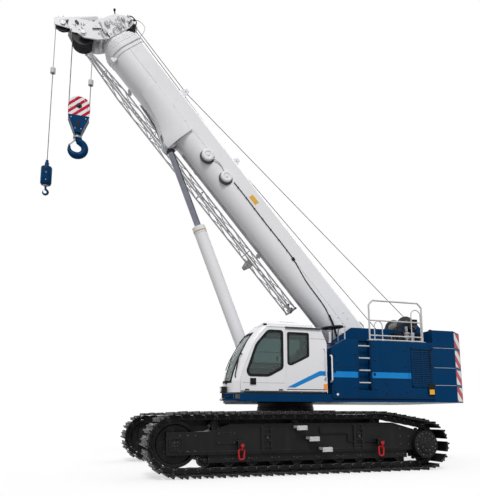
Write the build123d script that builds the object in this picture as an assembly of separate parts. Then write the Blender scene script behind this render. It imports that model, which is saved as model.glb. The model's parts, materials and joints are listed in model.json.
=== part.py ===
from build123d import *
import math
import os

# Telescopic crawler crane, millimetres. +X points to the front, +Y to the left, +Z up.
# Everything is laid out about the slewing axis with the ground at Z = 0. At the very end
# the whole crane is moved so that its origin is the middle of its footprint.

# ---- clearances -------------------------------------------------------------------------
SEAT_GAP = 0.3            # between pieces that sit on each other
BEARING_GAP = 0.05        # radial, pin in its bore
RUN_GAP = 0.5             # roller on its rail
MOVE_GAP = 6.0            # between pieces that slide or swing past each other

# ---- undercarriage ----------------------------------------------------------------------
TRACK_CENTRE_Y = 2200.0
SHOE_WIDTH = 900.0
SHOE_COUNT = 58
SHOE_PLATE = 40.0
GROUSER = 30.0
GROUSER_WIDTH = 32.0
RAIL_DEPTH = 110.0
RAIL_WIDTH = 230.0
IDLER_X = 3225.0
IDLER_WRAP_R = 605.0      # radius of the shoe line round the idler
SPROCKET_X = -2330.0
SPROCKET_WRAP_R = 512.0
TOP_RUN_REAR_X = -1300.0  # where the top run starts to fall towards the sprocket
WHEEL_WIDTH = 190.0
FORK_GAP = 250.0
FRAME_WIDTH = 440.0
FRAME_TOP_Z = GROUSER + 2 * IDLER_WRAP_R - 220.0   # under the top run
FRAME_NOSE_TOP_Z = FRAME_TOP_Z - 150.0
FRAME_BOTTOM_Z = 430.0
FRAME_FRONT_X = 3420.0
FRAME_REAR_X = -2520.0
ROLLER_R = 130.0
ROLLER_COUNT = 10
ROLLER_FIRST_X = -1780.0
ROLLER_LAST_X = 2640.0
CARRIER_R = 85.0
CARRIER_XS = (2450.0, 700.0, -1150.0)
DRIVE_HUB_R = 170.0
DRIVE_COVER_R = 300.0
DRIVE_OUTER_Y = TRACK_CENTRE_Y + 400.0
IDLER_AXLE_R = 75.0
GAUGE_STROKE = 700.0      # each side frame slides in by this much
STEP_TABLE = ((670.0, 935.0), (400.0, 710.0), (110.0, 490.0))   # x, z of each step plate
STEP_LENGTH = 230.0
STEP_DEPTH = 190.0
STEP_THICK = 30.0

LASHING_XS = (1950.0, -1180.0)   # lashing lugs that hang from a shelf on the side frame's outer face
LASHING_TOP_Z = 690.0
LASHING_HOLE_Z = 600.0
LASHING_WIDTH = 150.0
LASHING_REACH = 150.0
LASHING_THICK = 40.0
LASHING_HOLE_R = 30.0

CARBODY_HALF_X = 950.0
CARBODY_HALF_Y = 940.0
CARBODY_BOTTOM_Z = 560.0
CARBODY_TOP_Z = 1240.0
BEAM_XS = (1150.0, -1150.0)
BEAM_WIDTH = 360.0
BEAM_BOTTOM_Z = 520.0
BEAM_TOP_Z = 900.0
BEAM_INNER_Y = 740.0
SLEEVE_WALL = 35.0
SLEEVE_END_Y = 1230.0
RING_OUTER_R = 720.0
RING_INNER_R = 560.0
RING_SPLIT_Z = 1360.0

# ---- superstructure ---------------------------------------------------------------------
DECK_Z = 1487.0           # underside of the superstructure
DECK_THICK = 75.0
SIDE_Y = 1510.0
FRAME_FRONT = 1500.0
BEAK_X = 2020.0           # nose of the deck in front of the cab
BEAK_Y = (1100.0, 1330.0)
BODY_REAR_X = -3419.7
WEB_THICK = 60.0
PIVOT_X = -2150.0
PIVOT_Z = 2950.0
PIVOT_PIN_R = 90.0
FOOT_X = 780.0            # lift cylinder's foot
FOOT_Z = 1980.0
FOOT_BOSS_R = 120.0
HOUSING_FRONT_X = -580.0
HOUSING_TOP_Z = 2975.0
HOUSING_BOTTOM_Z = DECK_Z + DECK_THICK + SEAT_GAP
HOUSING_NOSE_Z = 2750.0
HOUSING_SLOPE_X = -960.0
LADDER_X = (-1640.0, -1290.0)
LADDER_DEPTH = 170.0
LADDER_BOTTOM_Z = 1760.0
RUNG_ZS = (1945.0, 2240.0, 2535.0, 2830.0)
RUNG_R = 17.0
CW_FRONT_X = -3420.0
CW_REAR_X = -4527.0
CW_CHAMFER_X = -4070.0
CW_CHAMFER_Y = 1150.0
CW_SEAMS = (1487.0, 1910.0, 2350.0, 2850.0, 3304.0)
CW_EDGE = 8.0
CW_NOTCH_X = -3900.0
WINCH_TABLE = (("main", -3500.0, 3560.0), ("whip", -2860.0, 3160.0))   # name, x, z
WINCH_DRUM_R = 210.0
WINCH_FLANGE_R = 310.0
WINCH_FLANGE = 30.0
ENGINE_X = (-3340.0, -2560.0)
ENGINE_TOP_Z = 2760.0
RAIL_TUBE_R = 21.0
RAIL_Y = 1455.0
RAIL_X = (-3170.0, -1660.0)
RAIL_TOP_Z = 4000.0
RAIL_MID_Z = 3480.0
EXHAUST_X = -3130.0
EXHAUST_Y = 820.0
EXHAUST_R = 95.0
TANK_X = (-480.0, 1180.0)
TANK_TOP_Z = 2010.0
MIRROR_X = -770.0
MIRROR_Y = 1220.0
MIRROR_R = 270.0
MIRROR_Z = 3290.0

# ---- cab --------------------------------------------------------------------------------
CAB_FLOOR_Z = 1690.0
CAB_ROOF_Z = 3215.0
CAB_REAR_X = -485.0
CAB_FRONT_X = 1850.0
CAB_TABLE = (             # z, rear x, x of the side wall's front edge, bow of the front
    (1690.0, -485.0, 1705.0, 210.0),
    (1950.0, -485.0, 1700.0, 215.0),
    (2150.0, -485.0, 1640.0, 225.0),
    (2450.0, -485.0, 1545.0, 200.0),
    (2790.0, -485.0, 1410.0, 130.0),
    (2870.0, -485.0, 1370.0, 120.0),
    (3050.0, -402.0, 1250.0, 95.0),
    (3215.0, -327.0, 1095.0, 80.0),
)
SCREEN_ZS = (1900.0, 3060.0)
SCREEN_MARGIN = 125.0
CAB_INNER_Y = 620.0
CAB_WALL = 40.0
CAB_SKIN_Y = 1470.0       # side wall, with the door sliding outside it
CAB_CORNER_R = 90.0
DOOR_REAR_X = 575.0
DOOR_THICK = 34.0
DOOR_RAIL_FRONT_X = 1560.0
DOOR_BOTTOM_Z = 1725.0
DOOR_TOP_Z = 3165.0
GLASS = 8.0
GLASS_GAP = 0.3
CAB_BASE_Z = DECK_Z + DECK_THICK

# ---- boom -------------------------------------------------------------------------------
BOOM_ANGLE = 49.5
BOOM_WIDTH = 800.0
BOOM_TOP = 340.0          # above the pivot line
BOOM_SEAM = -165.0        # where the flat side meets the round belly
BOOM_BOTTOM = BOOM_SEAM - BOOM_WIDTH / 2
BOOM_WALL = 12.0
SECTION_STEP = 38.0       # from one section's skin to the next one's
BOOM_SIDE_GAP = 32.0      # each side, between the boom's foot and the webs
WEB_INNER_Y = BOOM_WIDTH / 2 + BOOM_SIDE_GAP
WEB_OUTER_Y = WEB_INNER_Y + WEB_THICK
HOUSING_INNER_Y = WEB_OUTER_Y + 48
CW_NOTCH_Y = WEB_OUTER_Y + 8
WINCH_HALF_Y = WEB_INNER_Y - 122
BASE_START = 420.0
BASE_END = 9950.0
COLLAR = 70.0
SLIDE_PAD = 180.0         # length of the pads at each section's inner end
SECTION_COUNT = 5
SECTION_SETBACK = 130.0   # each section starts this much further up than the one outside it
FOOT_R = 270.0
FOOT_PLATE = 60.0
PIN_S = 7280.0            # lift cylinder's upper pin
PIN_N = -720.0
PIN_R = 70.0
BRACKET_HALF_Y = 190.0
BRACKET_PLATE = 50.0
ROD_R = 85.0
ROD_EYE_R = 130.0
ROD_EYE_WIDTH = 200.0
BARREL_R = 165.0
BARREL_BORE_R = 120.0
BARREL_HEAD_FROM_PIN = 2236.0
BARREL_EYE_R = 150.0
BARREL_BOTTOM = 230.0     # from the foot's centre to the end of the bore
CLOSING_STROKE = 2050.0   # how far the rod can still go in from rest
BARREL_EYE_HALF = 140.0
HEAD_HALF_Y = 300.0
HEAD_PLATE = 35.0
MAIN_SHEAVE_S = 10650.0
MAIN_SHEAVE_N = -775.0
SHEAVE_R = 262.0
SHEAVE_WIDTH = 62.0
SHEAVE_YS = (-150.0, -50.0, 50.0, 150.0)
TOP_SHEAVE_S = 10380.0
TOP_SHEAVE_N = 440.0
TOP_SHEAVE_R = 190.0
AUX_SHEAVE_S = 11200.0
AUX_SHEAVE_N = -955.0
AUX_SHEAVE_R = 180.0
NOSE_HALF_Y = 95.0
NOSE_SEAT_S = 10740.0     # face on the head that the nose is pinned to
SHEAVE_PIN_R = 45.0
ROPE_R = 10.0
GROOVE_HALF = 12.0
ROPE_SEAT = 17.0          # from a sheave's rim in to the rope's centre line

# ---- swing-away jib, stowed on the right of the boom ----------------------------------------
JIB_START = 1900.0
JIB_END = 10700.0
JIB_INNER_Y = -560.0
JIB_OUTER_Y = -840.0
JIB_LOW_N = -660.0
JIB_HIGH_N = -470.0
JIB_CHORD = 60.0
JIB_LACE = 28.0
JIB_LACE_APART = 45.0     # laces meet their chord this far either side of a station
JIB_PANELS = 11
JIB_TAPER_S = 9300.0
JIB_BRACKET_S = (3650.0, 9150.0)
JIB_BRACKET_TOP_N = 150.0

# ---- hooks ------------------------------------------------------------------------------
BLOCK_TOP_Z = 8880.0
BLOCK_BOTTOM_Z = 7945.0
BLOCK_PIN_Z = 8650.0
BLOCK_HALF_Y = 150.0
BLOCK_PLATE = 45.0
MAIN_HOOK_BOTTOM_Z = 7390.0
WHIP_BALL_R = 145.0
WHIP_BALL_TOP_Z = 7050.0
WHIP_BALL_BOTTOM_Z = 6560.0
WHIP_HOOK_BOTTOM_Z = 6230.0
LIMIT_WEIGHT_MAIN_Z = 9370.0
LIMIT_WEIGHT_WHIP_Z = 9550.0
LIMIT_ROD_REACH = 44.0    # sideways, from the rope to each rod of a limit weight


def block(x0, x1, y0, y1, z0, z1):
    return Pos((x0 + x1) / 2, (y0 + y1) / 2, (z0 + z1) / 2) * Box(x1 - x0, y1 - y0, z1 - z0)


def side_face(outline):
    """A flat face from (x, z) points, drawn in the XY plane until it is stood up."""
    return make_face(Polyline(*outline, close=True))


def stand_up(face, y0, y1):
    """Extrude a face drawn as (x, z) between two Y planes."""
    return Pos(0, y1, 0) * (Rot(90, 0, 0) * extrude(face, y1 - y0))


def side_plate(outline, y0, y1):
    return stand_up(side_face(outline), y0, y1)


def round_y(x, z, radius, y0, y1):
    return Pos(x, (y0 + y1) / 2, z) * Rot(90, 0, 0) * Cylinder(radius, y1 - y0)


def ring_y(x, z, outer, inner, y0, y1):
    return round_y(x, z, outer, y0, y1) - round_y(x, z, inner, y0 - 1, y1 + 1)


def bar(start, end, radius):
    start, end = Vector(start), Vector(end)
    return Solid.make_cylinder(radius, (end - start).length, Plane(origin=start, z_dir=end - start))


def strut(start, end, size):
    """Square bar between two points."""
    start, end = Vector(start), Vector(end)
    section = Plane(origin=start, z_dir=end - start) * Rectangle(size, size)
    return extrude(section, (end - start).length)


def merged(pieces):
    first, *others = pieces
    return first.fuse(*others) if others else first


def mirrored(shape):
    return mirror(shape, about=Plane.XZ)


def solids_of(shape):
    """A compound of the separate solids in a shape or in a list of shapes."""
    shapes = shape if isinstance(shape, (list, tuple)) else [shape]
    return Compound([solid for one in shapes for solid in one.solids()])


# ---- tracks -----------------------------------------------------------------------------
def track_path(inset):
    """The line of the shoes round idler and sprocket, moved inwards by inset, as (x, z)."""
    bottom = GROUSER + inset
    idler_r = IDLER_WRAP_R - inset
    sprocket_r = SPROCKET_WRAP_R - inset
    idler_z = bottom + idler_r
    sprocket_z = bottom + sprocket_r
    top = idler_z + idler_r
    across, up = TOP_RUN_REAR_X - SPROCKET_X, top - sprocket_z
    leave = math.atan2(up, across) + math.acos(sprocket_r / math.hypot(across, up))
    middle = (leave + 1.5 * math.pi) / 2

    def on_sprocket(angle):
        return (SPROCKET_X + sprocket_r * math.cos(angle), sprocket_z + sprocket_r * math.sin(angle))

    return Wire([
        Line((SPROCKET_X, bottom), (IDLER_X, bottom)),
        ThreePointArc((IDLER_X, bottom), (IDLER_X + idler_r, idler_z), (IDLER_X, top)),
        Line((IDLER_X, top), (TOP_RUN_REAR_X, top)),
        Line((TOP_RUN_REAR_X, top), on_sprocket(leave)),
        ThreePointArc(on_sprocket(leave), on_sprocket(middle), (SPROCKET_X, bottom)),
    ])


def track_shoes():
    """One closed loop: flat shoes, each with a grouser, on the chain's rail."""
    path = track_path(0)
    joints = [path.position_at(i / SHOE_COUNT) for i in range(SHOE_COUNT)]
    outline = []
    for here, after in zip(joints, joints[1:] + joints[:1]):
        along = (after - here).normalized()
        out = Vector(along.Y, -along.X) * GROUSER
        near = here + (after - here) * 0.12
        far = near + along * GROUSER_WIDTH
        outline += [here, near, near + out, far + out, far]
    shoes = make_face(Polyline(*outline, close=True)) - make_face(track_path(SHOE_PLATE))
    rail = make_face(track_path(SHOE_PLATE - 5)) - make_face(track_path(SHOE_PLATE + RAIL_DEPTH))
    half = SHOE_WIDTH / 2
    loop = stand_up(shoes, TRACK_CENTRE_Y - half, TRACK_CENTRE_Y + half)
    chain = stand_up(rail, TRACK_CENTRE_Y - RAIL_WIDTH / 2, TRACK_CENTRE_Y + RAIL_WIDTH / 2)
    return loop + chain


INNER_INSET = SHOE_PLATE + RAIL_DEPTH
IDLER_Z = GROUSER + IDLER_WRAP_R
SPROCKET_Z = GROUSER + SPROCKET_WRAP_R
RAIL_TOP_OF_BOTTOM_RUN = GROUSER + INNER_INSET
RAIL_UNDER_TOP_RUN = GROUSER + 2 * IDLER_WRAP_R - INNER_INSET
ROLLER_Z = RAIL_TOP_OF_BOTTOM_RUN + ROLLER_R + RUN_GAP
CARRIER_Z = RAIL_UNDER_TOP_RUN - CARRIER_R - RUN_GAP
FORK_OUTER = TRACK_CENTRE_Y + FRAME_WIDTH / 2
FORK_INNER = TRACK_CENTRE_Y - FRAME_WIDTH / 2


def track_frame():
    """Side frame with its two sliding beams, forked round idler and sprocket."""
    side = side_face([
        (FRAME_REAR_X, 325), (FRAME_REAR_X, FRAME_TOP_Z - 290), (-2150, FRAME_TOP_Z - 160), (-1560, FRAME_TOP_Z),
        (2150, FRAME_TOP_Z), (2590, FRAME_NOSE_TOP_Z), (FRAME_FRONT_X, FRAME_NOSE_TOP_Z),
        (FRAME_FRONT_X, FRAME_BOTTOM_Z), (-2050, FRAME_BOTTOM_Z), (-2150, 325),
    ])
    frame = stand_up(side, FORK_INNER, FORK_OUTER)
    fork = (TRACK_CENTRE_Y - FORK_GAP / 2, TRACK_CENTRE_Y + FORK_GAP / 2)
    idler_clear = IDLER_X - (IDLER_WRAP_R - INNER_INSET) - 40
    sprocket_clear = SPROCKET_X + (SPROCKET_WRAP_R - INNER_INSET) + 40
    frame -= block(idler_clear, FRAME_FRONT_X + 10, *fork, 0, 1300)
    frame -= block(FRAME_REAR_X - 10, sprocket_clear, *fork, 0, 1300)
    frame -= round_y(IDLER_X, IDLER_Z, IDLER_AXLE_R + RUN_GAP, FORK_INNER - 1, FORK_OUTER + 1)
    frame -= round_y(SPROCKET_X, SPROCKET_Z, DRIVE_HUB_R + RUN_GAP, FORK_INNER - 1, FORK_OUTER + 1)
    for x in CARRIER_XS:
        frame -= block(x - CARRIER_R - 25, x + CARRIER_R + 25, *fork, CARRIER_Z - CARRIER_R - 25, 1300)
        for y in (fork[0] - 40, fork[1]):
            frame += block(x - 45, x + 45, y, y + 40, FRAME_NOSE_TOP_Z - 20, CARRIER_Z + 40)
        frame -= round_y(x, CARRIER_Z, 30 + RUN_GAP, fork[0] - 60, fork[1] + 60)
    skirts = ((fork[0] - 30, fork[0]), (fork[1], fork[1] + 30))
    for y0, y1 in skirts:
        frame += block(ROLLER_FIRST_X - 160, ROLLER_LAST_X - 60, y0, y1, ROLLER_Z - 45, FRAME_BOTTOM_Z + 10)
    for x in roller_xs():
        frame -= round_y(x, ROLLER_Z, 30 + RUN_GAP, fork[0] - 60, fork[1] + 60)
    frame -= block(ROLLER_FIRST_X - 180, ROLLER_LAST_X + 180, *fork, 0, ROLLER_Z + ROLLER_R + 15)
    for x in BEAM_XS:
        half = BEAM_WIDTH / 2
        frame += block(x - half, x + half, BEAM_INNER_Y, FORK_INNER + 5, BEAM_BOTTOM_Z, BEAM_TOP_Z)
    for x in LASHING_XS:
        west, east = x - LASHING_WIDTH / 2, x + LASHING_WIDTH / 2
        tip = FORK_OUTER + LASHING_REACH
        shelf = block(west, east, FORK_OUTER - 5, tip, LASHING_TOP_Z - LASHING_THICK, LASHING_TOP_Z)
        plate = block(west, east, tip - LASHING_THICK, tip, LASHING_HOLE_Z - 65, LASHING_TOP_Z)
        frame += shelf + plate - round_y(x, LASHING_HOLE_Z, LASHING_HOLE_R, tip - LASHING_THICK - 1, tip + 1)
    return frame


def roller_xs():
    pitch = (ROLLER_LAST_X - ROLLER_FIRST_X) / (ROLLER_COUNT - 1)
    return [ROLLER_FIRST_X + i * pitch for i in range(ROLLER_COUNT)]


def track_wheel(x, z, radius, axle_r, axle_half):
    wheel = round_y(x, z, radius, TRACK_CENTRE_Y - WHEEL_WIDTH / 2, TRACK_CENTRE_Y + WHEEL_WIDTH / 2)
    return wheel + round_y(x, z, axle_r, TRACK_CENTRE_Y - axle_half, TRACK_CENTRE_Y + axle_half)


def track_rollers():
    axle_half = FORK_GAP / 2 + 30
    rollers = [track_wheel(x, ROLLER_Z, ROLLER_R, 30, axle_half) for x in roller_xs()]
    rollers += [track_wheel(x, CARRIER_Z, CARRIER_R, 30, axle_half) for x in CARRIER_XS]
    return solids_of(rollers)


def track_idler():
    radius = IDLER_WRAP_R - INNER_INSET - RUN_GAP
    return track_wheel(IDLER_X, IDLER_Z, radius, IDLER_AXLE_R, FRAME_WIDTH / 2)


def track_drive():
    radius = SPROCKET_WRAP_R - INNER_INSET - RUN_GAP
    drive = round_y(SPROCKET_X, SPROCKET_Z, radius,
                    TRACK_CENTRE_Y - WHEEL_WIDTH / 2, TRACK_CENTRE_Y + WHEEL_WIDTH / 2)
    drive += round_y(SPROCKET_X, SPROCKET_Z, DRIVE_HUB_R, FORK_INNER - 120, DRIVE_OUTER_Y)
    return drive + round_y(SPROCKET_X, SPROCKET_Z, DRIVE_COVER_R, FORK_OUTER + SEAT_GAP, DRIVE_OUTER_Y - 50)


def track_steps():
    """Step plates on the outer face of the side frame, each on its own bracket."""
    steps = []
    for x, z in STEP_TABLE:
        face_y = FORK_OUTER + SEAT_GAP
        plate = block(x - STEP_LENGTH / 2, x + STEP_LENGTH / 2, face_y, face_y + STEP_DEPTH, z, z + STEP_THICK)
        gusset = block(x - 15, x + 15, face_y, face_y + STEP_DEPTH * 0.6, z - 60, z + 5)
        steps.append(plate + gusset)
    return solids_of(steps)


def carbody():
    """Centre box with two sleeves across it that the side frames' beams slide in."""
    body = block(-CARBODY_HALF_X, CARBODY_HALF_X, -CARBODY_HALF_Y, CARBODY_HALF_Y,
                 CARBODY_BOTTOM_Z, CARBODY_TOP_Z)
    outer = BEAM_WIDTH / 2 + SLEEVE_WALL + MOVE_GAP
    inner = BEAM_WIDTH / 2 + MOVE_GAP
    for x in BEAM_XS:
        body += block(x - outer, x + outer, -SLEEVE_END_Y, SLEEVE_END_Y,
                      BEAM_BOTTOM_Z - SLEEVE_WALL - MOVE_GAP, BEAM_TOP_Z + SLEEVE_WALL + MOVE_GAP)
    for x in BEAM_XS:
        body -= block(x - inner, x + inner, -SLEEVE_END_Y - 1, SLEEVE_END_Y + 1,
                      BEAM_BOTTOM_Z - SEAT_GAP, BEAM_TOP_Z + MOVE_GAP)
    return body + Pos(0, 0, CARBODY_TOP_Z + 10) * Cylinder(RING_OUTER_R + 60, 20)


def ring(z0, z1, outer, inner):
    middle = Pos(0, 0, (z0 + z1) / 2)
    return middle * Cylinder(outer, z1 - z0) - middle * Cylinder(inner, z1 - z0 + 2)


# ---- superstructure ---------------------------------------------------------------------
def turntable_frame():
    """Deck, the two upright webs with the boom's ears, and the lift cylinder's lugs."""
    deck_top = DECK_Z + DECK_THICK
    frame = block(BODY_REAR_X, FRAME_FRONT, -WEB_OUTER_Y, WEB_OUTER_Y, DECK_Z, deck_top)
    frame += block(BODY_REAR_X, FRAME_FRONT + 160, WEB_INNER_Y, SIDE_Y, DECK_Z, deck_top)
    frame += block(BODY_REAR_X, TANK_X[1], -SIDE_Y, -WEB_INNER_Y, DECK_Z, deck_top)
    frame += block(HOUSING_FRONT_X + 20, FRAME_FRONT + 160, SIDE_Y - 60, SIDE_Y, DECK_Z, CAB_FLOOR_Z - 25)
    frame += block(FRAME_FRONT + 155, BEAK_X, *BEAK_Y, DECK_Z + 30, deck_top - 10)
    web = side_face([
        (BODY_REAR_X, deck_top - 5), (BODY_REAR_X, CW_SEAMS[3] + 20), (CW_NOTCH_X + 20, CW_SEAMS[3] + 20),
        (CW_NOTCH_X + 20, 3450), (-3640, 3700), (-3340, 3700), (-3140, 3445), (-1700, 3445),
        (-1080, 3040), (250, 2330), (1150, 2330), (FRAME_FRONT, 1950), (FRAME_FRONT, deck_top - 5),
    ])
    for y0, y1 in ((WEB_INNER_Y, WEB_OUTER_Y), (-WEB_OUTER_Y, -WEB_INNER_Y)):
        frame += stand_up(web, y0, y1)
    boss_inner = BARREL_R + MOVE_GAP + 4    # the whole barrel can pass between the bosses
    for side in (1, -1):
        reach = sorted((side * boss_inner, side * WEB_INNER_Y + side * 5))
        frame += round_y(FOOT_X, FOOT_Z, FOOT_BOSS_R, *reach)
    return frame - round_y(PIVOT_X, PIVOT_Z, PIVOT_PIN_R + SEAT_GAP, -1000, 1000)


def pivot_pin():
    """Pin through both ears and the boom's foot, with a keeper plate at each end."""
    end = WEB_OUTER_Y
    pin = round_y(PIVOT_X, PIVOT_Z, PIVOT_PIN_R, -end - 20, end + 20)
    for side in (1, -1):
        reach = sorted((side * (end + SEAT_GAP), side * (end + 22)))
        pin += round_y(PIVOT_X, PIVOT_Z, PIVOT_PIN_R + 45, *reach)
    return pin


def housing(ladder):
    """Closed machinery housing along the left side, with a recess for the ladder."""
    side = side_face([
        (BODY_REAR_X, HOUSING_BOTTOM_Z), (BODY_REAR_X, HOUSING_TOP_Z), (HOUSING_SLOPE_X, HOUSING_TOP_Z),
        (HOUSING_FRONT_X, HOUSING_NOSE_Z), (HOUSING_FRONT_X, HOUSING_BOTTOM_Z),
    ])
    body = stand_up(side, HOUSING_INNER_Y, SIDE_Y)
    if ladder:
        body -= block(*LADDER_X, SIDE_Y - LADDER_DEPTH, SIDE_Y + 1, LADDER_BOTTOM_Z, HOUSING_TOP_Z + 1)
    return body


def boarding_ladder():
    """Rungs in the recess, carried by two stiles flat on its cheeks."""
    y = SIDE_Y - 45
    x0, x1 = LADDER_X[0] + SEAT_GAP, LADDER_X[1] - SEAT_GAP
    stile = 14
    ladder = block(x0, x0 + stile, y - 25, y + 25, LADDER_BOTTOM_Z + 60, HOUSING_TOP_Z - 20)
    ladder += block(x1 - stile, x1, y - 25, y + 25, LADDER_BOTTOM_Z + 60, HOUSING_TOP_Z - 20)
    for z in RUNG_ZS:
        ladder += bar((x0 + 2, y, z), (x1 - 2, y, z), RUNG_R)
    return ladder


def counterweight():
    """Four slabs with bevelled rear corners; the top one is notched for the winch."""
    slabs = []
    plan = Polyline((CW_FRONT_X, SIDE_Y), (CW_CHAMFER_X, SIDE_Y), (CW_REAR_X, CW_CHAMFER_Y),
                    (CW_REAR_X, -CW_CHAMFER_Y), (CW_CHAMFER_X, -SIDE_Y), (CW_FRONT_X, -SIDE_Y),
                    close=True)
    for z0, z1 in zip(CW_SEAMS, CW_SEAMS[1:]):
        slab = Pos(0, 0, z0) * extrude(make_face(plan), z1 - SEAT_GAP - z0)
        slab = chamfer(slab.faces().sort_by(Axis.Z)[-1].edges(), CW_EDGE)
        if z1 == CW_SEAMS[-1]:
            slab -= block(CW_NOTCH_X, CW_FRONT_X + 1, -CW_NOTCH_Y, CW_NOTCH_Y, z0 - 1, z1 + 1)
        slabs.append(slab)
    return solids_of(slabs)


def winch(x, z):
    """Hoist drum between two flanges, on a cradle that stands on the webs."""
    drum = round_y(x, z, WINCH_DRUM_R, -WINCH_HALF_Y, WINCH_HALF_Y)
    for side in (1, -1):
        reach = sorted((side * WINCH_HALF_Y, side * (WINCH_HALF_Y - WINCH_FLANGE)))
        drum += round_y(x, z, WINCH_FLANGE_R, *reach)
        end = sorted((side * WINCH_HALF_Y, side * (WEB_INNER_Y - SEAT_GAP)))
        drum += round_y(x, z, WINCH_DRUM_R - 60, *end)
    return drum


def handrail(side):
    """Tube railing on top of the housing: posts, top rail, mid rail and kick rail."""
    y = side * RAIL_Y
    base = HOUSING_TOP_Z + RAIL_TUBE_R + SEAT_GAP
    rear, front = RAIL_X
    corner = 110
    top = RAIL_TOP_Z - RAIL_TUBE_R
    pieces = [
        bar((front, y, base), (front, y, top - corner), RAIL_TUBE_R),
        bar((rear, y, base), (rear, y, top - corner), RAIL_TUBE_R),
        bar((front, y, top - corner), (front - corner, y, top), RAIL_TUBE_R),
        bar((rear, y, top - corner), (rear + corner, y, top), RAIL_TUBE_R),
        bar((front - corner, y, top), (rear + corner, y, top), RAIL_TUBE_R),
        bar((front, y, RAIL_MID_Z), (rear, y, RAIL_MID_Z), RAIL_TUBE_R * 0.8),
        bar((front, y, base), (rear, y, base), RAIL_TUBE_R),
        bar((front, y, base + 110), (rear, y, base + 110), RAIL_TUBE_R * 0.8),
    ]
    joints = [(front, top - corner), (rear, top - corner), (front - corner, top), (rear + corner, top),
              (front, base), (rear, base)]
    pieces += [Pos(x, y, z) * Sphere(RAIL_TUBE_R) for x, z in joints]
    return merged(pieces)


def exhaust():
    """Ribbed silencer standing on the housing with its outlet pipe."""
    base = HOUSING_TOP_Z + SEAT_GAP
    pipe = Pos(EXHAUST_X, EXHAUST_Y, base + 180) * Cylinder(EXHAUST_R, 360)
    for i in range(5):
        pipe += Pos(EXHAUST_X, EXHAUST_Y, base + 60 + i * 60) * Cylinder(EXHAUST_R + 14, 18)
    pipe += Pos(EXHAUST_X, EXHAUST_Y, base + 430) * Cylinder(42, 160)
    return pipe


def engine():
    """The engine as one plain block on the deck between the webs."""
    half = WEB_INNER_Y - 40
    return block(*ENGINE_X, -half, half, DECK_Z + DECK_THICK + SEAT_GAP, ENGINE_TOP_Z)


def hydraulic_tank():
    base = DECK_Z + DECK_THICK + SEAT_GAP
    tank = block(*TANK_X, -SIDE_Y, -CAB_INNER_Y - 20, base, TANK_TOP_Z)
    return fillet(tank.edges().filter_by(Axis.Z), 60)


def mirror_and_stalk():
    """Wide convex mirror on a stalk that stands on the housing's sloping nose."""
    slope = (HOUSING_TOP_Z - HOUSING_NOSE_Z) / (HOUSING_SLOPE_X - HOUSING_FRONT_X)

    def on_slope(x):
        return HOUSING_NOSE_Z + (x - HOUSING_FRONT_X) * slope + SEAT_GAP

    x0, x1 = MIRROR_X - 50, MIRROR_X + 50
    seat = on_slope(MIRROR_X)
    foot = side_plate([(x0, on_slope(x0)), (x1, on_slope(x1)), (x1, seat + 60), (x0, seat + 60)],
                      MIRROR_Y - 30, MIRROR_Y + 30)
    stalk = bar((MIRROR_X, MIRROR_Y, seat + 40), (MIRROR_X, MIRROR_Y, MIRROR_Z), 14)
    disc = Cylinder(MIRROR_R, 30) + Pos(0, 0, -25) * Cone(MIRROR_R - 90, MIRROR_R - 10, 24)
    return foot + stalk + Pos(MIRROR_X, MIRROR_Y, MIRROR_Z) * Rot(0, 5, 0) * disc


# ---- cab --------------------------------------------------------------------------------
def between(table, z, column):
    """Value of a column of the table at height z, straight between the rows."""
    rows = sorted(table)
    z = min(max(z, rows[0][0]), rows[-1][0])
    for low, high in zip(rows, rows[1:]):
        if z <= high[0]:
            share = (z - low[0]) / (high[0] - low[0])
            return low[column] + (high[column] - low[column]) * share
    return rows[-1][column]


def cab_plan(z, inset):
    """Level section of the cab at height z: straight sides and a front that bows forwards."""
    y0, y1 = CAB_INNER_Y + inset, CAB_SKIN_Y - inset
    middle = (y0 + y1) / 2
    rear = between(CAB_TABLE, z, 1) + inset
    side = between(CAB_TABLE, z, 2) - inset
    bow = between(CAB_TABLE, z, 3)
    r = CAB_CORNER_R
    corner_bow = bow * (1 - ((middle - y0 - r) / (middle - y0)) ** 2)
    face = make_face(Wire([
        Line((rear, y0), (side - r, y0)),
        ThreePointArc((side - r, y0), (side - r * 0.27, y0 + r * 0.3), (side + corner_bow, y0 + r)),
        ThreePointArc((side + corner_bow, y0 + r), (side + bow, middle), (side + corner_bow, y1 - r)),
        ThreePointArc((side + corner_bow, y1 - r), (side - r * 0.27, y1 - r * 0.3), (side - r, y1)),
        Line((side - r, y1), (rear, y1)),
        Line((rear, y1), (rear, y0)),
    ]))
    return Pos(0, 0, z) * face


def cab_solid(inset, z_inset):
    low, high = CAB_FLOOR_Z + z_inset, CAB_ROOF_Z - z_inset
    heights = [low] + [row[0] for row in CAB_TABLE if low < row[0] < high] + [high]
    return loft([cab_plan(z, inset) for z in heights], ruled=True)


def window_face(points, radius=45):
    return fillet(side_face(points).vertices(), radius)


DOOR_WINDOW = [(640, 3105), (1000, 3105), (1290, 2770), (1510, 2160), (1455, 2055), (985, 2055), (640, 2240)]
REAR_WINDOW = [(515, 3085), (-30, 3085), (-30, 2530), (430, 2310), (515, 2340)]
FAR_WINDOW = [(1240, 2760), (960, 3085), (-200, 3085), (-200, 2400), (1300, 2400)]


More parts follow.
